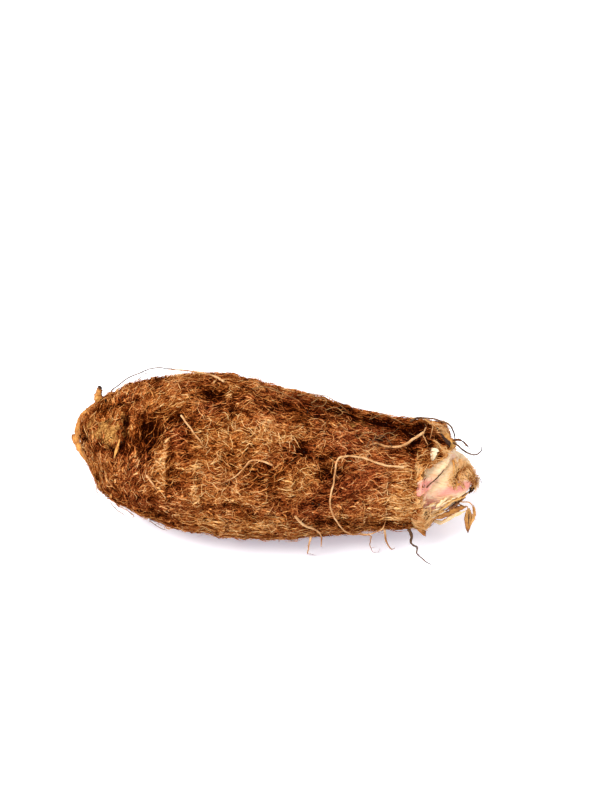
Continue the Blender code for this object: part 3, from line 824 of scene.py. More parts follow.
def celled(tree, mesh):
    """The mesh with a map that gives each face its own cell."""
    face_count = tree("GeometryNodeAttributeDomainSize", {"Geometry": mesh}, "Face Count", component="MESH")
    cells = tree.math("CEIL", tree.math("SQRT", face_count))
    corner = tree.node("GeometryNodeFaceOfCorner", {"Corner Index": tree("GeometryNodeInputIndex")}).outputs
    column = tree.math("FLOORED_MODULO", corner["Face Index"], cells)
    line = tree.math("FLOOR", tree.math("DIVIDE", tree.sum(corner["Face Index"], 0.01), cells))
    order = corner["Index in Face"]
    right = tree.times(tree.math("COMPARE", order, 1.5, 0.6), 0.7)
    top = tree.times(tree.math("GREATER_THAN", order, 1.5), 0.7)
    u = tree.math("DIVIDE", tree.sum(column, right, 0.15), cells)
    v = tree.math("DIVIDE", tree.sum(line, top, 0.15), cells)
    return tree.stored(mesh, "OFBake", tree("ShaderNodeCombineXYZ", {"X": u, "Y": v}), "FLOAT2", "CORNER")


fullness = fibres.math("POWER", fibres.math("ABSOLUTE", fibres.times(centred, 2.0)), 3.0)
girth = fibres.times(fibres.minus(1.0, fibres.times(fullness, 0.75)), sizes["Radius"])
girth = fibres.times(girth, fibres.chance(0.6, 1.25, fibre, 18))
skin_up = fibres.read("skin_up", "FLOAT_VECTOR")
from_spine = fibres.vector("SUBTRACT", place, fibres.read("spine", "FLOAT_VECTOR"))
rise = fibres.times(fibres.vector("DOT_PRODUCT", from_spine, skin_up), sizes["Flatness"])
tubes = fibres(
    "GeometryNodeSetPosition",
    {
        "Geometry": skinned(fibres, row, fibre, along, girth, FIBRE_SIDES),
        "Offset": fibres.scaled(skin_up, fibres.times(rise, -1.0)),
    },
)
tubes = celled(fibres, tubes)

husk_fibre, tree, shader = material_tree("husk_fibre")
place = tree("ShaderNodeTexCoord", out="Object")
speckle = tree.minus(tree.noise(place, 0.0008, detail=2.0), 0.5)
shade = tree.sum(tree.read("shade"), tree.times(speckle, 1.1))
shade = tree.math("MINIMUM", shade, 0.92)
colour = husk_colour(tree, shade, tree.read("rust"))
finished_skin(tree, shader, colour, tree.noise(place, 0.0005), 0.55, 0.9, 0.0)

finished = fibres("GeometryNodeRealizeInstances", {"Geometry": tubes})
finished = fibres("GeometryNodeSetMaterial", {"Geometry": finished, "Material": husk_fibre})
fibres.link(finished, fibres_out)
print("fibre tree nodes:", len(fibres.tree.nodes))

# %% [markdown]
# ## Layers of fibre
#
# The mat is laid from the bottom up, the lower layers darker than the upper ones, partly as painted shade
# deep in the mat. The low layer is dark and lies flat, the middle ones are brown and more tangled, and the
# top one is a thin scatter of pale curly fibres. Wide flat tubes between them are flakes of old skin, and a
# few nearly black fibres break up the brown. One more layer stands across the corm along the edges of the
# leaf scars, where real husks end in short stiff threads. A last thin one is of stray hairs that lift off
# the mat and show against the light.

# %% The fibre layers
FIBRE_LAYERS = {
    "fibres_low": {
        "Density": 180000.0, "Length": 0.0050, "Radius": 0.00016, "Lift": 0.0003, "Swirl": 0.35,
        "Shade": 0.28, "Points": 4, "Seed": 1,
    },
    "fibres_middle": {
        "Density": 275000.0, "Length": 0.0054, "Radius": 0.00012, "Lift": 0.0006, "Swirl": 0.5,
        "Scatter": 0.7, "Bend": 0.7, "Shade": 0.45, "Points": 4, "Seed": 2,
    },
    "fibres_high": {
        "Density": 300000.0, "Length": 0.0050, "Radius": 0.00010, "Lift": 0.0008, "Swirl": 0.6,
        "Scatter": 0.7, "Shade": 0.51, "Points": 4, "Seed": 4,
    },
    "flakes": {
        "Density": 85000.0, "Length": 0.0036, "Radius": 0.00050, "Lift": 0.0006, "Raise": 0.0012,
        "Rarity": 2.0, "Flatness": 0.86, "Swirl": 0.5, "Scatter": 0.6, "Bend": 0.5, "In smooth parts": 0.6,
        "Shade": 0.50, "Points": 4, "Seed": 8,
    },
    "fibres_dark": {
        "Density": 80000.0, "Length": 0.0062, "Radius": 0.00014, "Lift": 0.0010, "Swirl": 0.7,
        "Scatter": 0.9, "Bend": 1.3, "Shade": 0.06, "Points": 4, "Seed": 7,
    },
    "fibres_top": {
        "Density": 140000.0, "Length": 0.0054, "Radius": 0.00011, "Lift": 0.0012, "Scatter": 1.4,
        "Bend": 1.7, "Wave": 0.06, "In tangles": 0.8, "Shade": 0.62, "Seed": 3,
    },
    "fibres_ring": {
        "Density": 500000.0, "Length": 0.0036, "Radius": 0.00013, "Lift": 0.0010, "Turn": 1.57,
        "Swirl": 0.1, "Scatter": 0.4, "Bend": 0.6, "On rings": 1.0, "Shade": 0.55, "Points": 4, "Seed": 5,
    },
    "fibres_stray": {
        "Density": 36000.0, "Length": 0.0062, "Radius": 0.00009, "Lift": 0.0010, "Raise": 0.0022,
        "Rarity": 1.6, "Scatter": 2.2, "Bend": 1.6, "Wave": 0.05, "Shade": 0.26, "Seed": 6,
    },
}
for name, values in FIBRE_LAYERS.items():
    layer = applied(body, fibres.tree, name, values)
    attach(layer, "root")
    print(name, triangles(layer), "triangles")
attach(body, "root")
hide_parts("corm")

# %% [markdown]
# ## Thin pieces
#
# The leaf bases, the torn edge of the husk and the dry scales are all thin shells. Each is worked out as a
# grid of points for its outer face. The inner face is the same grid moved in along the normals. Towards the
# border the two faces close in on each other and meet, so the rim is round, and merging the doubled points
# closes the shell. Numbers stored on the points, such as how pink or how stained a place is, are read by
# the materials.

# %% Shells from grids
def grid_normals(grid, round_shape):
    """A normal at each point of a grid. A round grid joins its last column to its first."""
    across = np.gradient(grid, axis=1)
    if round_shape:
        across = np.roll(grid, -1, axis=1) - np.roll(grid, 1, axis=1)
    normals = np.cross(across, np.gradient(grid, axis=0))
    return normals / np.maximum(np.linalg.norm(normals, axis=2, keepdims=True), 1e-12)


def from_border(grid, round_shape):
    """How far each point of a grid lies from its border, along the grid's lines."""
    down = np.cumsum(np.linalg.norm(np.diff(grid, axis=0, prepend=grid[:1]), axis=2), axis=0)
    nearest = np.minimum(down, down[-1:] - down)
    if round_shape:
        return nearest
    over = np.cumsum(np.linalg.norm(np.diff(grid, axis=1, prepend=grid[:, :1]), axis=2), axis=1)
    return np.minimum(nearest, np.minimum(over, over[:, -1:] - over))


def grid_faces(rows, columns, round_shape):
    faces = []
    for row in range(rows - 1):
        for column in range(columns if round_shape else columns - 1):
            here, beside = row * columns + column, row * columns + (column + 1) % columns
            faces.append((here, beside, beside + columns, here + columns))
    return faces


MERGE_WITHIN = 1e-7


def mesh_piece(name, points, faces, values):
    """A smooth mesh object: doubled points merged, faces turned outwards, and values stored."""
    mesh = bpy.data.meshes.new(name)
    mesh.from_pydata([tuple(point) for point in points], [], faces)
    for label, numbers in values.items():
        store(mesh, label, numbers)
    work = bmesh.new()
    work.from_mesh(mesh)
    bmesh.ops.remove_doubles(work, verts=work.verts, dist=MERGE_WITHIN)
    bmesh.ops.dissolve_degenerate(work, edges=work.edges, dist=MERGE_WITHIN)
    bmesh.ops.recalc_face_normals(work, faces=work.faces)
    work.to_mesh(mesh)
    work.free()
    mesh.shade_smooth()
    made = bpy.data.objects.new(name, mesh)
    bpy.context.scene.collection.objects.link(made)
    return made


def shell(name, grid, thickness, values, facing, round_shape=False):
    """A closed thin shell under a grid, which is its outer face and faces the way of facing."""
    normals = grid_normals(grid, round_shape)
    normals = normals * np.sign(np.sum(normals * facing))
    inward = np.clip(from_border(grid, round_shape) / (0.6 * thickness), 0, 1)
    half = thickness / 2 * np.sqrt(1 - (1 - inward) ** 2)[..., None]
    middle = grid - normals * thickness / 2
    points = np.concatenate(
        [(middle + normals * half).reshape(-1, 3), (middle - normals * half).reshape(-1, 3)]
    )
    points[:, 2] = np.maximum(points[:, 2], FLOOR_GAP)
    rows, columns = grid.shape[:2]
    outer = grid_faces(rows, columns, round_shape)
    inner = [tuple(rows * columns + corner for corner in reversed(face)) for face in outer]
    doubled = {
        label: np.tile(np.broadcast_to(numbers, (rows, columns)).ravel(), 2)
        for label, numbers in values.items()
    }
    return mesh_piece(name, points, outer + inner, doubled)


def fibre_guide(name, grid, values, round_shape):
    """A plain sheet for fibres to grow on."""
    rows, columns = grid.shape[:2]
    flat = {label: np.broadcast_to(numbers, (rows, columns)).ravel() for label, numbers in values.items()}
    return mesh_piece(name, grid.reshape(-1, 3), grid_faces(rows, columns, round_shape), flat)


print("shell helpers ready")

# %% [markdown]
# ## The fleshy end
#
# Where the leaves were cut off, their bases wrap round each other like the layers of a leek. The stump in
# the middle is a dome, crossed by the low rings of sheaths that were pulled off it. Each base is a thick
# sheet that grows out of the socket and hugs the dome, with a torn, slanting edge. A place over the dome is
# a station, an angle and a lift off the dome in millimetres. On its upper side the dome sags and has drawn
# back, where the cut flesh has dried.

# %% Places on the dome
DOME_LENGTH = 26.3
UPPER_MIDDLE, UPPER_WIDTH = 112, 58
UPPER_SAG, UPPER_DRAWN = 4.0, 5.0
TIP_DRAWN, TIP_SAG = 2.2, 2.6


def over_dome(stations, degrees, lifts):
    """Points over the dome, for arrays of stations, degrees and lifts in millimetres."""
    share = np.clip((stations - STUMP_STATION) / DOME_LENGTH, 0, 1)
    upper = np.exp(-((((degrees - UPPER_MIDDLE + 180) % 360 - 180) / UPPER_WIDTH) ** 4))
    sag, drawn = np.clip((stations - 144) / 20, 0, 1), np.clip((stations - 154) / 9, 0, 1)
    sag = UPPER_SAG * upper * sag * sag * (3 - 2 * sag)
    tip = np.clip((stations - 161) / 8.2, 0, 1) ** 2
    drawn = UPPER_DRAWN * upper * drawn * drawn * (3 - 2 * drawn) * np.minimum(1, (1 - share) * 9)
    drawn = drawn + TIP_DRAWN * tip
    radius = np.maximum(STUMP_RADIUS * np.sqrt(1 - share**2) - sag, 0.1 * STUMP_RADIUS * (share < 1))
    reach = (radius + lifts) * MM
    turn = np.maximum(0.0, (stations - NECK_AT) / NECK_LENGTH) ** 2
    drop = (math.tan(SINK) * (stations - BELLY_AT) - NECK_RISE * turn + TIP_SAG * tip) * MM
    angle = np.radians(degrees)
    x = AXIS_START + (stations - drawn) * MM + 0 * reach
    y = AXIS_SIDE + NECK_BACK * turn * MM - np.cos(angle) * reach
    return np.stack([x, y, BELLY_HEIGHT - drop + np.sin(angle) * reach], axis=-1)


def dome_place(station, degrees, lift=0.0):
    """One point over the dome."""
    return Vector(over_dome(np.array(float(station)), np.array(float(degrees)), np.array(float(lift))))


def off_corm(station, forward, height):
    """A free point: so far forward of the centreline's side, and so high above the floor, in millimetres."""
    return Vector((AXIS_START + station * MM, AXIS_SIDE - forward * MM, height * MM))


def dome_route(*places):
    return [dome_place(*place) for place in places]


def free_route(*places):
    return [off_corm(*place) for place in places]


print("dome tip at", [round(v / MM, 1) for v in dome_place(STUMP_STATION + DOME_LENGTH, 0)])

# %% [markdown]
# Cut flesh is moist and lets light in, so its shader scatters a little light below the surface. Its colour
# is cream, with a rose blush where stored, yellow along the ribs, and brown stains where it has torn and
# dried.

# %% Flesh
BLUSH_SPOTS = (
    (145.4, 31, 2.6, 9, 1.2), (148.5, 38, 3.5, 6, 0.5), (152, 50, 2.5, 5, 0.2), (161, 20, 6.5, 10, 1.15),
    (162, 85, 7, 26, 0.36), (164, 14, 4, 8, 0.5), (154, 17, 4, 7, 0.6), (144.4, 30, 2.4, 7, 0.9),
    (151, -18, 4, 14, 0.5), (150, 2, 3, 7, 0.4), (147, 2, 3, 12, 0.6), (149, 335, 4, 20, 0.5),
    (150, 200, 4, 40, 0.6), (156, 300, 5, 20, 0.3),
)
STAIN_SPOTS = (
    (163, 50, 3.0, 10, 0.8), (168, 30, 2.0, 30, 0.8), (153, -46, 9, 20, 0.7), (150, 2, 3, 7, 0.2),
    (156, 2, 3, 6, 0.2), (148, 88, 4, 18, 0.9), (161, 84, 6, 24, 0.18), (157, 8, 1.2, 8, 0.5),
    (152, 120, 5, 20, 0.6), (166, 90, 2, 30, 0.4), (160, 240, 5, 50, 0.6), (150, 160, 4, 30, 0.4),
)
flesh, tree, shader = material_tree("cut_flesh")
place = tree("ShaderNodeTexCoord", out="Object")
ribs = tree.noise(place, 0.0007, detail=3.0, stretch=(6, 1, 1), Distortion=0.4)
clouds = tree.noise(place, 0.0035, detail=2.0)
flecks = tree.noise(place, 0.0006, detail=3.0)
blush = tree.sum(tree.read("blush"), tree.times(tree.minus(ribs, 0.5), 0.9))
blush = tree.between(blush, 0.12, 0.85)
cream = colour_mix(tree, clouds, (0.77, 0.49, 0.23, 1), (0.83, 0.65, 0.45, 1))
ribbed = tree.between(ribs, 0.52, 0.72, 0.55)
cream = colour_mix(tree, ribbed, cream, (0.64, 0.38, 0.14, 1))
rose = colour_mix(tree, ribs, (0.80, 0.40, 0.32, 1), (0.74, 0.20, 0.14, 1))
stain = tree.sum(
    tree.read("stain"),
    tree.times(tree.minus(clouds, 0.5), 1.2),
    tree.times(tree.minus(flecks, 0.5), 1.2),
)
stain = tree.between(stain, 0.40, 0.80)
DRIED = ((0.32, (0.20, 0.060, 0.012)), (0.48, (0.54, 0.25, 0.07)), (0.66, (0.70, 0.44, 0.20)))
dried = ramp(tree, flecks, DRIED)
colour = colour_mix(tree, stain, colour_mix(tree, blush, cream, rose), dried)
finished_skin(tree, shader, colour, flecks, 0.35, 0.65, 0.3)
shader["Subsurface Weight"].default_value = 0.2
shader["Subsurface Radius"].default_value = (0.0030, 0.0015, 0.0008)
shader["Subsurface Scale"].default_value = 0.5
bumped(tree, shader, tree.sum(ribs, tree.times(flecks, 0.5)), 0.0004)
print("flesh nodes:", len(tree.tree.nodes))

# %% The stump's dome
rows, columns = 64, 120
lean = np.arange(rows)[:, None] / rows * math.pi / 2 + np.zeros((1, columns))
turns = np.arange(columns)[None, :] * 360 / columns + np.zeros((rows, 1))
stations = STUMP_STATION + 0.02 + (DOME_LENGTH - 0.02) * np.sin(lean)
grid = over_dome(stations, turns, 0.0)
sheath = ((stations - 150) / 2.7 + 2.0 * ripple(grid, 0.012) + 0.5 * ripple(grid, 0.003)) % 1.0
grid = over_dome(stations, turns, -0.55 * sheath * np.clip((stations - 148) / 4, 0, 1))
grid = grid - 0.35 * MM * np.abs(ripple(grid * (0.3, 1, 1), 0.0016))[..., None] * [1, 0, 0]
points = np.concatenate(
    [grid.reshape(-1, 3), [dome_place(STUMP_STATION + DOME_LENGTH, 0), axis_point(STUMP_STATION)]]
)
faces = grid_faces(rows, columns, True)
faces += [
    ((rows - 1) * columns + c, (rows - 1) * columns + (c + 1) % columns, len(points) - 2)
    for c in range(columns)
]
faces += [((c + 1) % columns, c, len(points) - 1) for c in range(columns)]
around = places_of(points)
stump = mesh_piece("stump_flesh", points, faces, {
    "blush": spots(BLUSH_SPOTS, *around) + np.append(0.35 * sheath.ravel() ** 3, (0, 0)),
    "stain": 0.15 + spots(STAIN_SPOTS, *around) + np.append(0.45 * sheath.ravel() ** 8, (0, 0)),
})
stump.data.materials.append(flesh)
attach(stump, "root")
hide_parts("shoot_stump")
print("stump", triangles(stump), "triangles")

# %% [markdown]
# Each leaf base has a table of its edge, as angle and station. Noise tears the edge, and ribs a tenth of a
# millimetre high run along the sheet. Towards its edge a sheet lifts off the one below. The outermost base
# also has a bruised rose shoulder that swells over the husk's lip. It is one more shell, whose reach passes
# from the dome's to the husk's.

# %% Leaf bases
LEAF_BASES = {
    "leaf_base_outer": {
        "edge": (
            (3, 147.4), (14, 146.6), (26, 146.4), (33, 148.2), (42, 151), (52, 153.8), (62, 156.2),
            (75, 158.8), (90, 160.6), (101, 161.4),
        ),
        "lifts": (1.9, 2.5), "thickness": 1.4, "slot": "pink_flesh",
    },
    "leaf_base_middle": {
        "edge": ((34, 155.5), (42, 158), (50, 158.6), (58, 160), (68, 162.2), (76, 163.6), (82, 163.8)),
        "lifts": (0.5, 1.4), "thickness": 1.1, "slot": "flesh",
    },
    "leaf_base_bud": {
        "edge": ((-3, 158), (1, 163), (8, 165.6), (18, 166.8), (27, 166), (33, 163.4), (37, 159)),
        "lifts": (0.4, 2.0), "thickness": 1.1, "slot": "pink_flesh",
    },
    "leaf_base_upper": {
        "edge": ((80, 162), (90, 165), (104, 165.6), (125, 163.6), (150, 161.6)), "lifts": (0.4, 0.9),
        "thickness": 1.1, "slot": "flesh",
    },
    "leaf_base_back": {
        "edge": ((148, 158.5), (165, 160.2), (200, 159.4), (235, 158.4), (252, 157)), "lifts": (0.6, 1.1),
        "thickness": 1.1, "slot": "flesh",
    },
    "leaf_base_under": {
        "edge": (
            (250, 156), (275, 158.6), (305, 160.4), (325, 162.5), (345, 164.5), (358, 163), (362, 160),
        ),
        "lifts": (0.3, 1.0), "thickness": 1.1, "slot": "flesh",
    },
}


def leaf_base(name, edge, lifts, thickness, slot, rows=44, spacing=1.3):
    """A fleshy sheet over the dome, from the socket to its torn edge."""
    columns = int((edge[-1][0] - edge[0][0]) / spacing) + 8
    turns = np.linspace(edge[0][0], edge[-1][0], columns)[None, :] + np.zeros((rows, 1))
    edges = np.interp(turns, [at for at, _ in edge], [station for _, station in edge])
    rim = over_dome(edges, turns, 2.0)
    edges = edges + 1.6 * ripple(rim, 0.0022) + 1.1 * ripple(rim, 0.0008)
    along = np.linspace(0, 1, rows)[:, None] + np.zeros((1, columns))
    stations = STUMP_STATION + 0.2 + (edges - STUMP_STATION - 0.2) * along
    across = np.linspace(-1, 1, columns)[None, :]
    lift = lifts[0] + thickness + (lifts[1] - lifts[0]) * along**3 - 0.35 * across**8
    flat = over_dome(stations, turns, lift)
    ribs = 0.22 * ripple(flat * (0.15, 1, 1), 0.0009) + 0.5 * ripple(flat, 0.0045)
    grid = over_dome(stations, turns, lift + ribs * np.minimum(1, along * 4))
    torn = np.exp(-(edges - stations) / 0.5) * 0.32
    values = {
        "blush": spots(BLUSH_SPOTS, stations, turns), "stain": torn + spots(STAIN_SPOTS, stations, turns),
    }
    facing = grid - over_dome(stations, turns, -STUMP_RADIUS)
    made = shell(name + "_flesh", grid, thickness * MM, values, facing)
    made.data.materials.append(flesh)
    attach(made, "root")
    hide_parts(name)
    return made


for name, sizes_of in LEAF_BASES.items():
    print(name, triangles(leaf_base(name, **sizes_of)), "triangles")

# %% A bruised shoulder over the husk's lip
LAST_ON_HUSK = 144.8
rows, columns = 24, 28
stations = np.linspace(142.4, 149.4, rows)[:, None] + np.zeros((1, columns))
turns = np.linspace(24, 46, columns)[None, :] + 0.8 * (stations - 146)
dome = over_dome(stations, turns, 4.0)
on_husk = np.minimum(stations, LAST_ON_HUSK)
husk = np.array([
    np.array(cad_point(float(station), float(turn)) - axis_point(float(station)))
    for station, turn in zip(on_husk.ravel(), turns.ravel())
]).reshape(rows, columns, 3)
centre = np.array([axis_point(float(s)) for s in stations[:, 0]])[:, None, :]
husk_reach = np.linalg.norm(husk, axis=2) + 0.9 * MM
out = (dome - centre) / np.linalg.norm(dome - centre, axis=2, keepdims=True)
over = np.clip((147.0 - stations) / 2.5, 0, 1)
reach = np.linalg.norm(dome - centre, axis=2) * (1 - over) + husk_reach * over
across, down = np.linspace(-1, 1, columns)[None, :], np.linspace(-1, 1, rows)[:, None]
reach = reach - (2.2 * np.abs(across) ** 5 + 1.8 * np.abs(down) ** 5) * MM + 0.7 * MM * ripple(dome, 0.0022)
shoulder = shell("rose_shoulder", centre + out * reach[..., None], 0.9 * MM, {
    "blush": spots(BLUSH_SPOTS, stations, turns), "stain": 0.3 * np.abs(across) ** 4 + 0 * stations,
}, out)
shoulder.data.materials.append(flesh)
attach(shoulder, "root")
print("shoulder", triangles(shoulder), "triangles")

# %% [markdown]
# ## The torn edge of the husk
#
# The husk doesn't end in a clean rim. Above and behind, a torn sheet of it reaches on over the leaf bases,
# and in front it stops short. A collar does this: its first rows are buried in the husk, it rises over the
# lip, and settles on the leaf bases. How far it reaches past the mouth is a table by angle. It has one deep
# hollow at the top, with a chip of pale flesh at the hollow's edge. Fibres grow on a second, longer grid
# just above the collar, so that their ends hang over the flesh.

# %% The collar's grid
COLLAR_REACH = (
    (-180, 1.2), (-150, 1.0), (-120, 1.6), (-90, 2.4), (-60, 2.6), (-30, 3.4), (-12, 2.4), (6, 0.2),
    (20, -1.6), (39, -2.6), (47, -1.8), (53, 1.4), (58, 4.8), (63, 7.2), (75, 8.6), (90, 9.0), (110, 6.4),
    (130, 3.4), (150, 1.8), (180, 1.2),
)
HOLLOW = (148.4, 94)
PALE_CHIP = (148.1, 68)
COLLAR_ROWS, COLLAR_COLUMNS = 34, 210
COLLAR_LEAST = -3.5


def mouth_and_reach(turns):
    """The mouth's station, and how far the collar reaches past it, for an array of angles."""
    mouth = MOUTH_MIDDLE - MOUTH_SLANT * np.cos(np.radians(turns - MOUTH_SIDE))
    return mouth, np.interp(turns, [at for at, _ in COLLAR_REACH], [far for _, far in COLLAR_REACH])


def collar_grid(extra, raised, ragged):
    """Stations, degrees, points and outward directions of the collar, reaching extra further, and raised."""
    turns = np.linspace(-180, 180, COLLAR_COLUMNS, endpoint=False)[None, :] + np.zeros((COLLAR_ROWS, 1))
    mouth, reach = mouth_and_reach(turns)
    rim = over_dome(mouth, turns, 4.0)
    reach = reach + extra + ragged * (3.0 * ripple(rim, 0.004) + 2.4 * ripple(rim, 0.0011))
    reach = np.maximum(reach, COLLAR_LEAST)
    along = np.linspace(0, 1, COLLAR_ROWS)[:, None] + np.zeros((1, COLLAR_COLUMNS))
    stations = mouth - 4.0 + (reach + 4.0) * along
    settled = np.interp(turns, (-180, -30, 0, 105, 150, 180), (2.6, 2.6, 4.3, 4.3, 2.6, 2.6))
    grid = over_dome(stations, turns, settled + raised)
    past = np.clip((stations - mouth + 0.6) / 4.5, 0, 1)
    past = past * past * (3 - 2 * past)
    buried = np.clip((mouth - 1.0 - stations) / 3.0, 0, 1)
    for row in range(COLLAR_ROWS):
        for column in range(COLLAR_COLUMNS):
            share, turn = float(past[row, column]), float(turns[row, column])
            if share < 1:
                station = min(float(stations[row, column]), float(mouth[row, column]) - 0.4)
                husk = np.array(cad_point(station, turn) - axis_point(station))
                lift = (0.5 + raised - 1.3 * float(buried[row, column])) * MM
                here = axis_point(float(stations[row, column]))
                outer = np.array(here) + husk * (1 + lift / np.linalg.norm(husk))
                grid[row, column] = grid[row, column] * share + outer * (1 - share)
    centre = over_dome(stations, turns, -STUMP_RADIUS)
    out = (grid - centre) / np.linalg.norm(grid - centre, axis=2, keepdims=True)
    hollow = np.exp(-(((stations - HOLLOW[0]) / 2.4) ** 2) - ((turns - HOLLOW[1]) / 9) ** 2)
    wrinkles = 1.1 * ripple(grid, 0.005) + 0.5 * ripple(grid * (0.4, 1, 1), 0.0012)
    sunk = 2.6 * hollow - wrinkles * np.clip((stations - mouth + 2) / 3, 0, 1)
    return stations, turns, grid - out * (sunk * MM)[..., None], out


stations, turns, grid, out = collar_grid(0.0, 0.0, 1.0)
print("collar reaches station", round(float(stations.max()), 1))

# %% The collar and its fibres
# Partly darker husk, partly painted shade: in the hollow, and in a line under the flap of dry scale.
COLLAR_DARK_AND_SHADE = (
    (148.4, 94, 3.0, 9, 1.2), (152.0, 98, 2.4, 5, 1.0), (154.2, 88, 2.2, 6, 1.1), (144.5, 84, 3.5, 11, 1.2),
    (156, 108, 2.0, 8, 0.8), (150, 130, 3, 12, 0.8), (149, -60, 2.5, 12, 0.6), (147, -75, 2, 20, 0.6),
)
COLLAR_GOLD = (
    (151, 60, 5, 8, 0.9), (150, -16, 4, 14, 1.2), (153.5, 78, 3, 9, 1.2), (145, 58, 3, 9, 0.6),
    (148, 0, 4, 40, 1.0), (148.5, 82, 1.2, 5, 0.8),
)


def collar_values(stations, turns):
    """The stored values that the husk's material and fibres read."""
    # dark holds the collar's darker husk and its painted shade under the flap and in the hollow.
    gold, dark = spots(COLLAR_GOLD, stations, turns), spots(COLLAR_DARK_AND_SHADE, stations, turns)
    places = over_dome(stations, turns, 2.0)
    tone = 0.17 + 0.24 * gold - 0.50 * dark + 0.9 * ripple(places, 0.0035)
    return {
        "tone": tone, "rust": 0.4 - 0.3 * gold + 0.8 * ripple(places, 0.006), "flow": 0.0, "combed": 0.5,
        "ring_edge": 0.0, "station": stations, "cover": 1.0,
    }


values = collar_values(stations, turns)
collar = shell("torn_collar", grid, 0.5 * MM, values, out, True)
collar.data.materials.append(husk_skin)
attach(collar, "root")

outer_collar = (stations, turns, grid, out)


def on_collar(station, degree, lift):
    """A point above the collar at a place, in millimetres."""
    rows, columns = np.abs(outer_collar[0] - station), np.abs(outer_collar[1] - degree)
    nearest = np.unravel_index(np.argmin(rows + columns * 0.35), rows.shape)
    return Vector(outer_collar[2][nearest] + outer_collar[3][nearest] * lift * MM)


def collar_route(*places):
    return [on_collar(*place) for place in places]


stations, turns, grid, _ = collar_grid(5.5, 0.25, 0.0)
values = collar_values(stations, turns)
mouth, reach = mouth_and_reach(turns)
chip = np.exp(-(((stations - PALE_CHIP[0]) / 1.6) ** 2) - ((turns - PALE_CHIP[1]) / 4.5) ** 2)
hollow = np.exp(-(((stations - HOLLOW[0]) / 2.8) ** 2) - ((turns - HOLLOW[1]) / 9) ** 2)
ends = 1 / (1 + np.exp((stations - mouth - reach + 1.2) / 0.5))
lower = np.exp(-((turns + 40) / 45) ** 2) * np.exp(-((stations - mouth - reach) / 3.5) ** 2)
bare = np.exp(-(((stations - 145) / 4.0) ** 2) - ((turns - 40) / 9) ** 2)
values["cover"] = np.clip(ends + 0.55 * lower - 1.1 * chip - 0.8 * hollow - 1.2 * bare, 0, 1)
guide = fibre_guide("collar_guide", grid, values, True)
COLLAR_LAYERS = {
    "collar_fibres": {
        "Density": 1250000.0, "Length": 0.0062, "Radius": 0.00011, "Lift": 0.0005, "Scatter": 0.7,
        "Bend": 0.6, "Raise": 0.0016, "Shade": 0.50, "Seed": 21,
    },
    "collar_curls": {
        "Density": 260000.0, "Length": 0.0070, "Radius": 0.00012, "Lift": 0.0008, "Scatter": 1.6,
        "Bend": 2.2, "Raise": 0.0024, "Wave": 0.07, "Shade": 0.56, "Seed": 22,
    },
}
for name, layer_sizes in COLLAR_LAYERS.items():
    layer = applied(guide, fibres.tree, name, layer_sizes)
    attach(layer, "root")
    print(name, triangles(layer), "triangles")
bpy.data.objects.remove(guide)

# %% [markdown]
# ## Dry scales
#
# Scraps of old leaf base hang on round the shoot and at the base. They are papery strips, which curl across
# their width and taper. Round the mouth lie loose scraps of the same kind: a pale chip, folds, slivers, and
# small peels at random places, and two nearly black strips that are painted shadow, under the flap and in a
# crevice. A route gives each its length, and it faces partly away from the corm, partly along a direction of
# its own. Streaks run along the strip, so it stores the distance along and across for its material.

# %% Smooth routes
def smooth_route(places, steps=10):
    """Points of a smooth line through the places."""
    ends = [2 * places[0] - places[1], *places, 2 * places[-1] - places[-2]]
    line = []
    for before, start, end, after in zip(ends, ends[1:], ends[2:], ends[3:]):
        for step in range(steps):
            t = step / steps
            pull = 2 * start + (end - before) * t
            pull += (2 * before - 5 * start + 4 * end - after) * t**2
            pull += (3 * start - before - 3 * end + after) * t**3
            line.append(pull / 2)
    return [*line, places[-1]]


def even_points(line, count):
    """The same line as count points an even distance apart, and its length."""
    points = np.array(line)
    lengths = np.concatenate([[0], np.cumsum(np.linalg.norm(np.diff(points, axis=0), axis=1))])
    at = np.linspace(0, lengths[-1], count)
    return np.stack([np.interp(at, lengths, points[:, axis]) for axis in range(3)], axis=1), lengths[-1]


def along_skin(*places, lift=1.0):
    """Route points over the skin, from (station, degrees) or (station, degrees, extra lift)."""
    return [
        cad_point(p[0], p[1]) + outwards(p[1]) * (lift + (p[2] if len(p) > 2 else 0)) * MM for p in places
    ]


print("route helpers ready")

# %% Papery scales
papery, tree, shader = material_tree("papery_scale")
place = tree("ShaderNodeTexCoord", out="Object")
lengthwise = tree(
    "ShaderNodeCombineXYZ", {"X": tree.read("across"), "Y": tree.times(tree.read("along"), 0.12)},
)
streaks = tree.noise(lengthwise, 0.00030, detail=3.0, Distortion=0.5)
clouds = tree.noise(place, 0.0025, detail=2.0)
specks = tree.noise(place, 0.0005, detail=2.0)
dry_shade = tree.sum(
    tree.times(streaks, 0.9), tree.times(clouds, 0.5), tree.times(specks, 0.3),
    tree.times(tree.read("darker"), -0.75), -0.30,
)
PAPER = (
    (0.0, (0.030, 0.010, 0.004)), (0.3, (0.240, 0.075, 0.014)), (0.5, (0.520, 0.210, 0.040)),
    (0.7, (0.720, 0.390, 0.110)), (1.0, (0.850, 0.700, 0.460)),
)
finished_skin(tree, shader, ramp(tree, dry_shade, PAPER), clouds, 0.5, 0.8, 0.2)
bumped(tree, shader, streaks, 0.0004)


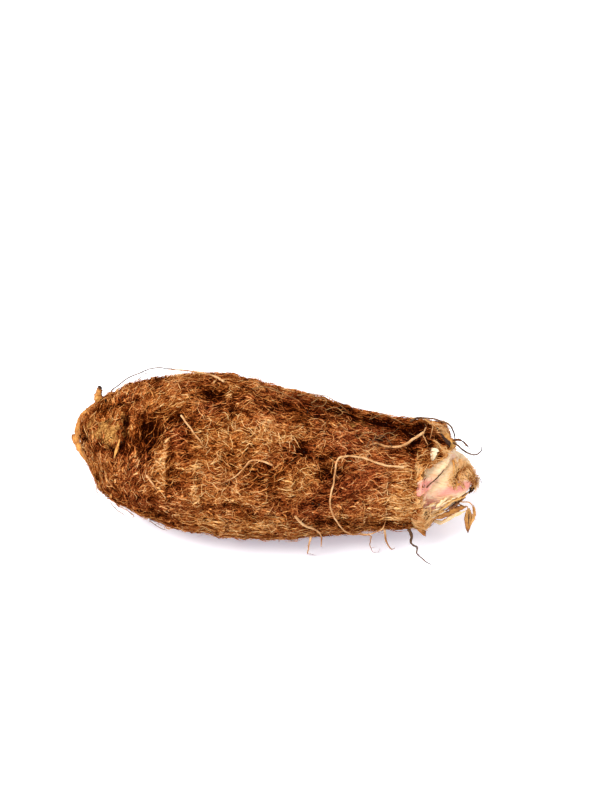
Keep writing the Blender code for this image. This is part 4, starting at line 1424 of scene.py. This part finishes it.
def papery_strip(name, route, width, hug, lean, cup=0.9, darker=0.0, tip=0.0, thickness=0.28, twist=0.0,
                 widths=(0.5, 0.85, 1.0, 0.88, 0.4), rows=44, columns=13, torn=0.5):
    """A dry strip along a route, cupped across its width. It faces hug times outwards plus lean."""
    line, length = even_points(smooth_route(route), rows)
    ahead = np.gradient(line, axis=0)
    ahead /= np.linalg.norm(ahead, axis=1, keepdims=True)
    stations = (line[:, 0] - AXIS_START) / MM
    outward = line - np.array([axis_point(float(station)) for station in stations])
    face = outward * hug + np.array(lean)
    side = np.cross(ahead, face)
    side /= np.linalg.norm(side, axis=1, keepdims=True)
    normal = np.cross(side, ahead)
    along = np.linspace(0, 1, rows)
    turn = twist * along[:, None]
    side, normal = side * np.cos(turn) + normal * np.sin(turn), normal * np.cos(turn) - side * np.sin(turn)
    ragged = 1 + torn * ripple(line, 0.0009)
    half = width / 2 * np.interp(along, np.linspace(0, 1, len(widths)), widths) * ragged
    half = half * np.minimum(1, (1.02 - along) * 6)
    across = np.linspace(-1, 1, columns)
    bent = cup * across[None, :] * (0.6 + 0.6 * along[:, None])
    reach = (half / max(cup, 0.05))[:, None, None]
    grid = line[:, None, :] + side[:, None, :] * np.sin(bent)[..., None] * reach
    grid = grid + normal[:, None, :] * (np.cos(bent)[..., None] - 1) * reach
    grid = grid + normal[:, None, :] * (0.35 * MM * ripple(grid, 0.0016))[..., None]
    dark = darker + tip * along[:, None] ** 6 + 0.5 * np.abs(across[None, :]) ** 6
    values = {
        "along": along[:, None] * length, "across": across[None, :] * width / 2 + 0 * dark, "darker": dark,
    }
    made = shell(name, grid, thickness * MM, values, np.broadcast_to(normal[:, None, :], grid.shape))
    made.data.materials.append(papery)
    return made


def joined(name, pieces):
    """One object from several that share a material."""
    with bpy.context.temp_override(active_object=pieces[0], selected_editable_objects=pieces):
        bpy.ops.object.join()
    pieces[0].name = name
    pieces[0].data.name = name
    return pieces[0]


print("papery nodes:", len(tree.tree.nodes))

# %% The dry scales
BASE_RIM = (
    (11.0, 114, 0.2), (5.0, 112, 0.6), (2.2, 104, 0.8), (0.8, 80, 1.0), (0.6, 50, 1.2), (0.8, 20, 1.8),
    (1.4, -6, 2.6), (3.4, -22, 2.0), (6.4, -34, 0.5),
)
base_rim = [
    cad_point(*place[:2]) + outwards(place[1]) * 0.6 * MM - Vector((place[2] * MM, 0, 0))
    for place in BASE_RIM
]
DRY_SCALES = {
    "dry_scale_base_rim": {
        "route": base_rim, "width": 3.8 * MM, "hug": 0.3, "lean": (-0.2, -1, 0.9), "cup": 0.7,
        "darker": 0.16, "widths": (0.3, 0.5, 0.7, 0.9, 1, 1, 0.8, 0.4), "rows": 90, "torn": 0.35,
    },
    "dry_scale_base_flap": {
        "route": free_route((8.3, -8.1, 50.0), (9.1, -8.1, 53.4), (10.0, -8.1, 57.0), (10.9, -8.1, 60.4)),
        "width": 3.2 * MM, "hug": 0, "lean": (0, -1, 0.6), "cup": 0.7, "darker": 0.05, "tip": 1.3,
        "widths": (1.8, 1.5, 1.1, 0.75, 0.45),
    },
    "dry_scale_mouth": {
        "route": [
            cad_point(144.5, 114) + outwards(114) * 1.5 * MM, dome_place(149.7, 115, 6.4),
            dome_place(152.9, 106, 5.9), dome_place(155.5, 96.6, 5.7), dome_place(156.9, 87.8, 5.4),
            dome_place(156.8, 80.5, 4.8),
        ],
        "width": 6.4 * MM, "hug": 1, "lean": (0, 0, 0), "cup": 0.7, "darker": -0.02,
        "widths": (0.8, 1, 1, 1, 0.9, 0.45), "rows": 60,
    },
    "dry_scale_lower": {
        "route": dome_route((150.5, -46, 4.4)) + free_route(
            (154.0, 12.9, 15.0), (156.8, 12.9, 17.0), (158.8, 12.6, 19.0), (162.4, 11.6, 21.0),
            (164.8, 10.6, 22.0),
        ),
        "width": 2.4 * MM, "hug": 0, "lean": (0, -1, 0.35), "cup": 0.8, "darker": -0.45,
        "widths": (1, 1, 0.9, 0.8, 0.4),
    },
    "dry_scale_tip_front": {
        "route": dome_route((159.5, 37, 2.6), (162.5, 36, 3.2), (165.2, 29, 3.4), (167.6, 16, 3.6)),
        "width": 2.6 * MM, "hug": 1, "lean": (0.012, 0, 0), "cup": 1.2, "darker": 0.1,
    },
    "dry_scale_tip_top": {
        "route": dome_route((157.0, 106, 4.6)) + free_route(
            (159.4, -3.1, 49.4), (161.6, -3.1, 47.0), (163.6, -3.1, 44.4),
        ),
        "width": 1.9 * MM, "hug": 1, "lean": (0.012, 0, 0), "cup": 1.4, "darker": 0.45, "twist": 2.0,
        "torn": 0.6, "widths": (1, 1, 0.8, 0.35),
    },
    "dry_scale_curled": {
        "route": free_route(
            (165.4, 8.9, 21.0), (165.8, 8.9, 17.3), (166.3, 8.9, 12.1), (166.6, 8.9, 7.5), (167.0, 8.9, 4.2)
        ),
        "width": 5.4 * MM, "hug": 0, "lean": (0, -1, 0.35), "cup": 1.3, "darker": -0.05, "tip": 1.0,
        "torn": 0.12, "widths": (0.4, 0.9, 1, 0.6, 0.12),
    },
    "dry_scale_hanging": {
        "route": [
            cad_point(144.8, -30) + outwards(-30) * 1.2 * MM,
            cad_point(147.2, -36) + outwards(-36) * 2.6 * MM, off_corm(148.4, 19.9, 14.4),
        ],
        "width": 3.0 * MM, "hug": 0, "lean": (0, -1, 0.35), "cup": 0.9, "darker": 0.15,
    },
}
for name, shape in DRY_SCALES.items():
    scale = papery_strip(name + "_strip", **shape)
    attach(scale, "root")
    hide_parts(name)
    print(name, triangles(scale), "triangles")

# %% Loose scraps round the mouth
LOOSE_SCRAPS = {
    "pale_chip": (
        collar_route((148.2, 75, 1.2), (148.2, 69, 1.5), (148.3, 61, 0.9)), 6.6, -0.8,
        (1, 1, 0.8, 0.5, 0.15),
    ),
    "flap_shadow": (
        collar_route((149.3, 106, 1.3), (152.4, 99, 1.6), (154.8, 90, 1.7), (155.6, 81, 1.4)), 1.9, 0.95,
        (0.5, 1, 1, 1, 0.5),
    ),
    # A nearly black strip: painted shadow under the flap of dry scale.
    "pale_sliver": (
        along_skin((24.1, 51.8), (23.6, 45.5), (22.8, 38.5), (22.4, 34.5), lift=0.9), 1.5, 0.0,
        (0.4, 1, 1, 0.8, 0.3),
    ),
    "under_petal": (
        dome_route(
            (153.5, 3, 2.9), (156.8, 0, 3.1), (159.8, -3, 3.1), (163.6, -11, 2.9), (166.4, -14, 2.2),
        ),
        3.0, -0.12, (0.4, 0.8, 1, 1, 0.5),
    ),
    "fold": (
        dome_route((155.0, -27, 3.2), (159.0, -18, 3.5), (161.2, -15, 3.5), (164.4, -20, 2.8)), 2.4, 0.35,
        (0.5, 1, 1, 0.8, 0.4),
    ),
    "lower_fold": (
        dome_route((150, -40, 3.8)) + free_route(
            (154.0, 11.6, 16.2), (158.2, 11.4, 19.4), (161.5, 10.6, 21.4), (164.6, 9.6, 22.2),
        ),
        6.4, 0.12, (1, 1, 0.9, 0.8, 0.5),
    ),
    "leaf_fold": (
        free_route((165.7, 9.9, 20.4), (166.1, 9.9, 15.6), (166.5, 9.8, 10.4)), 0.9, 0.6, (0.6, 1, 0.7, 0.1)
    ),
    "leaf_side": (
        free_route((167.3, 8.7, 23.0), (168.1, 8.8, 18.6), (168.0, 8.9, 14.0), (167.0, 9.0, 8.6)), 2.2,
        -0.05, (0.25, 0.8, 1, 0.6, 0.15),
    ),
    # A nearly black strip: painted shade in the crevice under the fold.
    "crevice_shadow": (
        dome_route((158.0, -24, 2.6), (161.0, -21, 2.7), (164.4, -27, 2.4)), 2.4, 0.95, (0.5, 1, 1, 1, 0.5),
    ),
}
PEELS = 20
scraps = []
for name, (route, width, darker, widths) in LOOSE_SCRAPS.items():
    scraps.append(papery_strip(name, route, width * MM, 1, (0, -0.006, 0.002), 0.7, darker, widths=widths))
dice = random.Random(11)
for number in range(PEELS):
    station, degree = dice.uniform(146.5, 153.0), dice.uniform(-66, 6)
    length, drift = dice.uniform(4.0, 8.0), dice.uniform(-9, 9)
    steps = [
        dome_place(station + length * part, degree + drift * part, 4.6 - 1.5 * part)
        for part in (0, 0.35, 0.7, 1)
    ]
    scraps.append(papery_strip(
        f"peel_{number}", steps, dice.uniform(1.2, 3.0) * MM, 1, (0, 0, 0), dice.uniform(0.4, 1.2),
        dice.uniform(-0.85, -0.1), twist=dice.uniform(-0.5, 0.5), rows=26, columns=9,
    ))
mouth_scraps = joined("mouth_scraps", scraps)
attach(mouth_scraps, "root")
print("scraps round the mouth:", triangles(mouth_scraps), "triangles")

# %% [markdown]
# ## Roots
#
# A few wiry roots still cross the corm, and some hang from it to the floor. One geometry tree grows them
# all from a line: it spaces points evenly along the line, wanders off it a little, thins towards the tip,
# and skins the result with a tube. From some of its points finer rootlets branch off, each a short bent row
# with a tube of its own. The routes are the CAD model's.

# %% Root tree: the root
growing, sizes, growing_out = geometry_tree(
    "growing",
    {
        "Thickness": 0.0012, "Tip": 0.45, "Wander": 0.0008, "Knots": 0.35, "Rootlet gap": 0.003,
        "Rootlet length": 0.004, "Rootlet girth": 0.00011, "Seed": 1,
    },
)
line = growing("GeometryNodeMeshToCurve", {"Mesh": sizes["Geometry"]})
line = growing("GeometryNodeResampleCurve", {"Curve": line, "Length": 0.0004}, mode="LENGTH")
share = growing("GeometryNodeSplineParameter", out="Factor")
place = growing("GeometryNodeInputPosition")
line = growing.stored(line, "along", share)
drift_at = growing.vector("MULTIPLY", place, (260.0, 260.0, 260.0))
drift_at = growing.vector(
    "ADD", drift_at, growing("ShaderNodeCombineXYZ", {"X": sizes["Seed"], "Y": 3.7, "Z": 1.3}),
)
drift = growing("ShaderNodeTexNoise", {"Vector": drift_at, "Scale": 1.0, "Detail": 2.0}, 1)
drift = growing.scaled(growing.vector("SUBTRACT", drift, (0.5, 0.5, 0.5)), sizes["Wander"])
moved = growing("GeometryNodeSetPosition", {"Geometry": line, "Offset": drift})
above = growing.vector("MAXIMUM", place, (-1.0, -1.0, 0.0005))
moved = growing("GeometryNodeSetPosition", {"Geometry": moved, "Position": above})
knots = growing.minus(growing.noise(place, 0.0011, detail=2.0), 0.5)
knots = growing.sum(growing.times(knots, growing.times(sizes["Knots"], 2.0)), 1.0)
along = growing.read("along")
narrowing = growing.mix(along, 1.0, sizes["Tip"])
rounded = growing.minus(1.0, growing.times(growing.math("POWER", along, 16.0), 0.8))
girth = growing.times(growing.times(sizes["Thickness"], 0.5), growing.times(narrowing, knots))
girth = growing.times(girth, rounded)
ring = growing("GeometryNodeCurvePrimitiveCircle", {"Resolution": 8, "Radius": 1.0})
tube = growing(
    "GeometryNodeCurveToMesh", {"Curve": moved, "Profile Curve": ring, "Scale": girth, "Fill Caps": True},
)
tube = growing("GeometryNodeSetShadeSmooth", {"Geometry": tube})
print("root tree nodes:", len(growing.tree.nodes))

# %% Root tree: the rootlets
buds = growing.node(
    "GeometryNodeCurveToPoints", {"Curve": moved, "Length": sizes["Rootlet gap"]}, mode="LENGTH",
)
grown = growing.stored(buds.outputs["Points"], "rootlet", growing("GeometryNodeInputIndex"), "INT")
grown = growing.stored(grown, "line_ahead", buds.outputs["Tangent"], "FLOAT_VECTOR")
grown = growing.stored(grown, "line_side", buds.outputs["Normal"], "FLOAT_VECTOR")
rootlet = growing.read("rootlet", "INT")
ahead = growing.read("line_ahead", "FLOAT_VECTOR")
aside = growing("ShaderNodeVectorRotate", {
    "Vector": growing.read("line_side", "FLOAT_VECTOR"), "Axis": ahead,
    "Angle": growing.chance(0.0, 6.28, rootlet, growing.sum(sizes["Seed"], 31)),
})
heading = growing.vector("ADD", aside, growing.scaled(ahead, growing.chance(-0.2, 1.2, rootlet, 32)))
row = growing.node("GeometryNodeDuplicateElements", {"Geometry": grown, "Amount": 6}, domain="POINT")
share = growing.math("DIVIDE", row.outputs["Duplicate Index"], 5.0)
row = growing.stored(row.outputs["Geometry"], "row_share", share)
share = growing.read("row_share")
length = growing.times(
    sizes["Rootlet length"], growing.math("POWER", growing.chance(0.1, 1.0, rootlet, 33), 2.0),
)
forward = growing.scaled(growing.vector("NORMALIZE", heading), growing.times(length, share))
curl = growing.vector("NORMALIZE", growing.vector("CROSS_PRODUCT", heading, ahead))
bend = growing.times(
    growing.times(length, growing.math("POWER", share, 2.0)), growing.chance(-0.8, 0.8, rootlet, 34),
)
offset = growing.vector("ADD", forward, growing.scaled(curl, bend))
row = growing("GeometryNodeSetPosition", {"Geometry": row, "Offset": offset})
above = growing.vector("MAXIMUM", place, (-1.0, -1.0, 0.0003))
row = growing("GeometryNodeSetPosition", {"Geometry": row, "Position": above})
thin = growing.times(sizes["Rootlet girth"], growing.mix(share, 1.0, 0.4))
rootlets = skinned(growing, row, rootlet, share, thin, 3)
both = growing("GeometryNodeJoinGeometry")
join = both.node
growing.link(tube, join.inputs[0])
growing.link(rootlets, join.inputs[0])
finished = growing("GeometryNodeRealizeInstances", {"Geometry": celled(growing, both)})
growing.link(finished, growing_out)
print("root tree nodes:", len(growing.tree.nodes))

# %% [markdown]
# A fresh root is tan with a faint rose tint, wrinkled across, and paler where its skin has rubbed. The dark
# ones by the shoot are dead and nearly black. Fine hairs are brown. One function gives each its material
# from a range of colours.

# %% Root finishes
ROOT_TAN = (
    (0.0, (0.070, 0.022, 0.006)), (0.35, (0.280, 0.105, 0.030)), (0.60, (0.560, 0.290, 0.120)),
    (1.0, (0.800, 0.560, 0.310)),
)
ROOT_DARK = ((0.0, (0.008, 0.004, 0.003)), (0.5, (0.050, 0.022, 0.010)), (1.0, (0.220, 0.110, 0.050)))
HAIR_BROWN = ((0.0, (0.012, 0.005, 0.002)), (0.4, (0.100, 0.042, 0.012)), (1.0, (0.420, 0.220, 0.080)))


def root_finish(name, colours, fade):
    """A root's material from a range of colours. fade darkens it towards its tip."""
    made, tree, shader = material_tree(name)
    place = tree("ShaderNodeTexCoord", out="Object")
    patches = tree.noise(place, 0.0035, detail=2.0)
    wrinkles = tree.noise(place, 0.00035, detail=3.0)
    shade = tree.sum(
        tree.times(patches, 0.9), tree.times(wrinkles, 0.7),
        tree.times(tree.read("along"), -fade), -0.12,
    )
    finished_skin(tree, shader, ramp(tree, shade, colours), patches, 0.5, 0.8, 0.08)
    bumped(tree, shader, wrinkles, 0.0003)
    return made


root_tan = root_finish("root_tan", ROOT_TAN, 0.3)
root_dark = root_finish("root_dark", ROOT_DARK, 0.1)
hair_brown = root_finish("hair_brown", HAIR_BROWN, 0.0)
print("root finishes ready")

# %% Growing a root
def grown_root(name, routes, material, **named):
    """Roots along one or more routes, as one piece."""
    points, edges = [], []
    for route in routes:
        line = smooth_route(route)
        edges += [(len(points) + step, len(points) + step + 1) for step in range(len(line) - 1)]
        points += line
    mesh = bpy.data.meshes.new(name)
    mesh.from_pydata(points, edges, [])
    guide = bpy.data.objects.new(name + "_guide", mesh)
    made = applied(guide, growing.tree, name, named, keep=("along",))
    bpy.data.objects.remove(guide)
    made.data.materials.clear()
    made.data.materials.append(material)
    return made


ROOTS = {
    "root_thick": {
        "route": along_skin(
            (144.0, 91), (140.3, 83), (135.7, 74), (129.7, 73), (125.7, 75), (121.7, 71), lift=1.6,
        ),
        "Thickness": 0.0012, "Tip": 0.6,
    },
    "root_thick_branch": {
        "route": dome_route((144.4, 101, 5.2), (144.0, 90.7, 5.2), (144.6, 83.6, 5.0), (145.6, 76.0, 4.6)),
        "Thickness": 0.0008,
    },
    "root_kinked": {
        "route": along_skin((85.9, 46), (81.2, 48), (77.3, 47), (74.1, 40), (69.9, 33), (64.6, 28)),
        "Thickness": 0.0008,
    },
    "root_straight": {
        "route": along_skin((48.0, 73), (53.2, 63), (57.2, 56), (60.7, 49)), "Thickness": 0.0008,
    },
    "root_low": {"route": along_skin((36.6, 28), (39.0, 23), (41.0, 18)), "Thickness": 0.0010},
    "root_over_top": {
        "route": along_skin((62.0, 109), (57.5, 117)) + free_route(
            (52.6, -15.1, 64.6), (48.6, -15.1, 65.2), (43.2, -15.4, 65.2), (37.4, -16.0, 64.2),
        ),
        "Thickness": 0.0009, "Tip": 0.5,
    },
    "root_long": {
        "route": along_skin(
            (137.0, 54), (128.6, 56), (120.5, 61), (113.8, 60), (110.6, 56), (110.2, 47), (109.8, 36),
            (109.0, 26), (109.4, 14), (112.2, 1, 1.3), (116.8, -14, 1.8), (122.4, -24, 2.0),
            (126.0, -36, 1.6),
        ) + free_route((125.8, 21.6, 7.8), (127.2, 20.6, 2.2), (129.6, 19.7, 1.0)),
        "Thickness": 0.0009,
    },
    "root_forked": {
        "route": along_skin(
            (95.7, 7), (98.8, -4), (103.5, -13), (105.6, -24),
        ) + free_route((106.0, 27.8, 14.6), (105.8, 27.0, 10.5)),
        "Thickness": 0.0011,
    },
    "root_fork_branch": {
        "route": along_skin((101.6, -23, 1.0)) + free_route(
            (101.0, 27.6, 13.3), (100.2, 25.6, 4.2), (100.0, 24.0, 1.0),
        ),
        "Thickness": 0.0009,
    },
    "root_short": {
        "route": along_skin((131.2, -30), (131.8, -40, 1.4)) + free_route(
            (132.8, 21.0, 10.0), (134.6, 20.8, 5.2), (136.4, 20.2, 4.7),
        ),
        "Thickness": 0.0011,
    },
    "root_stub": {
        "route": along_skin((141.2, -27, 0.2)) + free_route((142.6, 20.2, 14.5), (142.8, 19.9, 8.6)),
        "Thickness": 0.0015, "Tip": 0.7, "dark": True,
    },
    "root_wavy": {
        "route": free_route(
            (142.7, 20.0, 9.4), (144.2, 19.9, 7.4), (145.7, 19.9, 6.4), (146.0, 19.4, 1.2),
            (149.3, 22.0, 0.8), (152.5, 24.3, 0.8),
        ),
        "Thickness": 0.0008, "dark": True,
    },
    "root_hooked": {
        "route": dome_route((156.0, 104, 4.0)) + free_route(
            (158.2, -2.6, 46.6), (161.0, -2.1, 44.2), (163.7, -2.1, 42.3), (166.3, -2.1, 42.1),
            (167.9, -2.1, 44.0), (168.0, -2.1, 46.3), (167.2, -2.1, 47.7),
        ),
        "Thickness": 0.0009, "dark": True,
    },
    "root_arched": {
        "route": along_skin((138.5, 112, -0.6), (141.0, 111, 1.4)) + free_route(
            (143.8, -6.1, 57.4), (147.8, -6.1, 57.0), (153.4, -6.1, 55.0), (155.2, -6.1, 53.0),
            (156.6, -5.8, 49.4), (157.4, -5.0, 46.0),
        ),
        "Thickness": 0.0008, "Tip": 0.8, "dark": True,
    },
}
BACK_ROOTS = ((86, 205, -1), (106, 168, 1), (118, 214, 1), (129, 176, -1))
for number, (station, degree, turn) in enumerate(BACK_ROOTS, 1):
    steps = [(station + 4.5 * k, degree + turn * 26 * math.sin(0.62 * k), 0.3) for k in range(5)]
    ROOTS[f"root_back_{number}"] = {"route": along_skin(*steps), "Thickness": 0.0011}
for seed, (name, shape) in enumerate(ROOTS.items(), 1):
    is_dark = shape.pop("dark", False)
    made = grown_root(
        name + "_grown", [shape.pop("route")], root_dark if is_dark else root_tan, Seed=seed, **shape
    )
    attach(made, "root")
    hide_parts(name)
print("roots:", len(ROOTS))

# %% [markdown]
# ## The torn tip
#
# The youngest leaves were torn off, not cut, and left a brown tuft on the tip of the shoot. It is made of
# crumpled papery scraps with fibres over them. The scraps lie along a short path over the dome, each turned
# its own way by a seeded random number. A patch of the dome, raised, guides the fibres.

# %% Scraps of the tuft
TUFT_PATH = (
    (157.4, 38), (159.4, 43), (162.2, 50), (165.0, 50), (166.2, 38), (167.0, 26), (167.6, 15), (168.4, 2),
)
TUFT_SCRAPS = 44
dice = random.Random(7)
scraps = []
for number in range(TUFT_SCRAPS):
    at = dice.uniform(0, len(TUFT_PATH) - 1.01)
    first, second = TUFT_PATH[int(at)], TUFT_PATH[int(at) + 1]
    mix = at - int(at)
    station = first[0] + (second[0] - first[0]) * mix + dice.gauss(0, 0.7)
    degree = first[1] + (second[1] - first[1]) * mix + dice.gauss(0, 7)
    length, lean = dice.uniform(3.0, 6.0), dice.uniform(-1.2, 1.2)
    steps = []
    for part in (0, 0.35, 0.7, 1.0):
        along = station + length * part * math.cos(lean) * 0.7
        turned = degree + 6.5 * length * part * math.sin(lean)
        lift = 1.9 + dice.uniform(0.2, 1.0) + part * dice.uniform(0.2, 1.8)
        steps.append(dome_place(min(along, 169.0), turned, lift))
    look = Vector((dice.uniform(-0.4, 0.6), dice.uniform(-1, 0.2), dice.uniform(-0.2, 1))) * 0.02
    scraps.append(papery_strip(
        f"scrap_{number}", steps, dice.uniform(0.6, 1.5) * MM, 1, look, cup=dice.uniform(0.6, 1.6),
        darker=dice.uniform(-0.45, 0.2), thickness=0.22, twist=dice.uniform(-1.6, 1.6), rows=24, columns=9,
    ))
tuft = joined("torn_tuft", scraps)
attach(tuft, "root")
print("torn tuft:", triangles(tuft), "triangles")

# %% Fibres of the tuft
rows, columns = 26, 60
stations = np.linspace(154.5, 169.0, rows)[:, None] + np.zeros((1, columns))
turns = np.linspace(-25, 100, columns)[None, :] + np.zeros((rows, 1))
grid = over_dome(stations, turns, 2.6 + 1.2 * ripple(over_dome(stations, turns, 2.0), 0.003))
nearest = np.full(turns.shape, 99.0)
for station, degree in TUFT_PATH:
    reach = np.linalg.norm(
        grid - over_dome(np.array(station), np.array(degree), np.array(2.6)), axis=2,
    ) / MM
    nearest = np.minimum(nearest, reach)
places = over_dome(stations, turns, 2.0)
values = {
    "tone": 0.2 + 1.1 * ripple(places, 0.003), "rust": 0.2 + 0.8 * ripple(places, 0.005), "flow": 0.6,
    "combed": 0.0, "ring_edge": 0.0, "station": stations, "cover": np.clip((3.2 - nearest) / 1.4, 0, 1),
}
guide = fibre_guide("tuft_guide", grid, values, False)
tuft_fibres = applied(
    guide, fibres.tree, "tuft_fibres",
    {
        "Density": 4600000.0, "Length": 0.0044, "Radius": 0.00010, "Lift": 0.0011, "Raise": 0.0014,
        "Rarity": 1.5, "Scatter": 3.1, "Bend": 2.6, "Wave": 0.08, "Shade": 0.63, "Seed": 41,
    },
)
bpy.data.objects.remove(guide)
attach(tuft_fibres, "root")
print("tuft fibres:", triangles(tuft_fibres), "triangles")

# %% [markdown]
# Crumbs of dark soil still cling to the tuft and in the hollows of the husk. Each is a small ball of eighty
# faces, pushed in and out by noise.

# %% Soil crumbs
soil, tree, shader = material_tree("soil")
place = tree("ShaderNodeTexCoord", out="Object")
grit = tree.noise(place, 0.0004, detail=3.0)
SOIL = ((0.3, (0.006, 0.004, 0.003)), (0.7, (0.040, 0.022, 0.012)))
tree.link(ramp(tree, grit, SOIL), shader["Base Color"])
shader["Roughness"].default_value = 0.9
shader["Specular IOR Level"].default_value = 0.05
bumped(tree, shader, grit, 0.0003)


def crumb(place, size, seed):
    """A lump of soil: a subdivided ball pushed in and out by noise."""
    work = bmesh.new()
    bmesh.ops.create_icosphere(work, subdivisions=2, radius=size / 2)
    for vertex in work.verts:
        push = 1 + 0.7 * noise.noise(vertex.co / size * 2.2 + Vector((seed, 0, 0)))
        vertex.co = vertex.co * push + place
    mesh = bpy.data.meshes.new("crumb")
    work.to_mesh(mesh)
    work.free()
    made = bpy.data.objects.new("crumb", mesh)
    bpy.context.scene.collection.objects.link(made)
    return made


SMALL_CRUMBS = 46
crumbs = [
    crumb(dome_place(166.9, 7, 4.6), 2.0 * MM, 1), crumb(dome_place(166.6, 0, 4.0), 1.3 * MM, 2),
    crumb(dome_place(167.4, 13, 4.8), 1.1 * MM, 3), crumb(dome_place(166.0, -14, 2.4), 1.1 * MM, 4),
    crumb(dome_place(160.5, 47, 3.0), 0.9 * MM, 5), crumb(dome_place(157.5, 97, 4.2), 1.1 * MM, 6),
]
for number in range(SMALL_CRUMBS):
    station, degree = dice.choice(DARK_AND_SHADED_SPOTS)[:2]
    station, degree = station + dice.gauss(0, 3), degree + dice.gauss(0, 6)
    spot = cad_point(max(4, min(station, 143)), degree) + outwards(degree) * dice.uniform(-0.3, 0.4) * MM
    crumbs.append(crumb(spot, dice.uniform(0.3, 0.8) * MM, number + 10))
soil_crumbs = joined("soil_crumbs", crumbs)
soil_crumbs.data.shade_smooth()
soil_crumbs.data.materials.append(soil)
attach(soil_crumbs, "root")
print("soil crumbs:", triangles(soil_crumbs), "triangles")

# %% [markdown]
# ## Loose hairs
#
# Last come the long single hairs that catch the eye. Some cross the top and stand against the light. Dark
# ones curl at the tip of the tuft and beside the thick root. A thin dark line runs along the torn edge of
# the outer leaf base, over the pale flesh, and a dark thread arches over the base. Paler strands hang round
# the mouth and by the curled leaf. The root tree grows them all, with a small thickness.

# %% Loose hairs
TOP_HAIRS = (
    along_skin((17, -36, 0.2), (19, -42, 1.9), (23, -44, 2.8)),
    along_skin((12, -22, 0.1), (11, -30, 1.6), (12.5, -36, 2.8)),
    along_skin((24, -40, 0.2), (26, -46, 1.6), (25, -50, 2.8)),
    along_skin((34, -36, 0.1), (37, -43, 1.5), (41, -44, 1.9)),
    along_skin((9, 118, 0.1), (8.5, 124, 1.6), (10, 130, 2.9)),
    along_skin((25, 124, 0.1), (26, 131, 1.6), (28.5, 136, 2.6)),
    along_skin((92, 112, 0.2), (97, 112, 2.6), (104, 110, 3.4), (110, 108, 2.4), (113, 106, 0.4)),
    along_skin((98, 106, 0.2), (101, 110, 1.9), (104, 108, 2.3), (103, 103, 0.9), (99, 101, 0.3)),
    along_skin((104, 100, 0.2), (108, 104, 1.7), (111, 101, 1.5), (109, 97, 0.3)),
    along_skin((122, 104, 0.2), (127, 109, 2.0), (132, 106, 1.5), (136, 101, 0.3)),
    along_skin((74, 104, 0.2), (80, 108, 1.3), (87, 106, 1.2), (93, 103, 0.2)),
    along_skin((6, 40, 0.3), (3.5, 20, 0.9), (3, 5, 1.5), (4.5, -12, 1.9)),
    along_skin((118, 78, 0.1), (121, 84, 1.2), (125, 82, 1.5), (124, 76, 0.6)),
    along_skin((126, 80, 0.1), (130, 86, 1.3), (133, 82, 1.2), (130, 78, 0.4)),
)
TIP_HAIRS = (
    along_skin(
        (124.6, 72, 0.8), (124.2, 76, 1.6), (126.7, 81, 2.0), (129.5, 79.5, 1.8), (131.7, 73, 1.4),
        (129, 69, 1.2),
    ),
    along_skin((121.4, 70, 1.0), (123.2, 76, 1.8), (126.5, 74, 2.0), (125.8, 70, 1.4)),
    dome_route((167.6, 36, 2.6), (169.0, 33, 4.0), (170.2, 30, 5.6)),
    dome_route((168.4, 24, 2.8), (169.6, 22, 4.4), (171.2, 16, 5.2)),
    dome_route((168.8, 10, 2.8), (170.6, 6, 3.8), (171.8, -4, 5.4)),
    dome_route((168.6, 2, 3.2), (171.0, -4, 3.4), (172.4, -22, 4.6), (172.6, -40, 5.6)),
    dome_route((166.0, 60, 2.4), (167.6, 62, 4.2), (168.6, 66, 5.8)),
)
DARK_THREAD = (
    # A thin dark line along the torn edge of the outer leaf base, over the pale flesh.
    dome_route(
        (146.7, 31.6, 4.3), (149.6, 39.0, 4.4), (151.4, 44.8, 4.4), (152.5, 48.5, 4.5), (153.3, 52.1, 4.7),
    ),
    free_route(
        (9.7, -18.1, 43.0), (12.5, -18.1, 48.2), (17.8, -18.1, 53.8), (21.8, -18.1, 57.0),
        (28.2, -18.1, 61.0), (32.5, -17.8, 63.2), (37.4, -16.2, 64.9), (42.5, -15.6, 65.0),
    ),
)
LEAF_STRANDS = (
    along_skin(
        (121.6, -24, 1.2), (124.8, -23, 1.9), (127.5, -17, 1.9), (130.4, -12, 1.7), (131.4, -3, 1.2),
    ),
    dome_route((160.0, -14, 2.4)) + free_route(
        (163.6, 8.9, 24.9), (165.5, 8.9, 24.6), (167.1, 8.9, 22.3), (168.0, 8.9, 15.7),
    ),
    dome_route((160.0, -22, 2.0)) + free_route((163.2, 8.9, 22.3), (164.9, 8.9, 22.0), (165.6, 8.9, 17.4)),
    free_route((146.0, -6.1, 54.0), (150.8, -6.1, 53.8), (154.3, -6.1, 50.5), (155.4, -5.6, 47.6)),
    collar_route((147.9, 119, 0.9), (147.8, 104, 1.5), (147.4, 93.4, 3.2), (147.0, 86.0, 1.0)),
    collar_route((144.6, 103, 0.9), (144.2, 91, 1.5), (144.8, 83.6, 1.3), (146.3, 77.5, 1.0)),
)
top_hairs = grown_root("loose_hairs", TOP_HAIRS, hair_brown, Thickness=0.00038, Tip=0.6, Seed=61)
tip_hairs = grown_root("tip_hairs", TIP_HAIRS, root_dark, Thickness=0.00034, Tip=0.5, Seed=62)
thread = grown_root("dark_thread", DARK_THREAD, root_dark, Thickness=0.00058, Tip=0.7, Seed=63)
strands = grown_root("leaf_strands", LEAF_STRANDS, root_tan, Thickness=0.00055, Tip=0.8, Seed=64)
for piece in (top_hairs, tip_hairs, thread, strands):
    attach(piece, "root")
    print(piece.name, triangles(piece), "triangles")

# %% [markdown]
# ## Sizes, and the end
#
# The last cell prints how far the visual model reaches past the CAD model's box on each side. The visual
# model has to stay in the CAD model's box, give or take a fringe of hair.

# %% Finish
visual_box = [list(corner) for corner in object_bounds()]
print("grown by (mm)", [
    [round((v - c) / MM, 2) for v, c in zip(*corners)] for corners in zip(visual_box, cad_box)
])
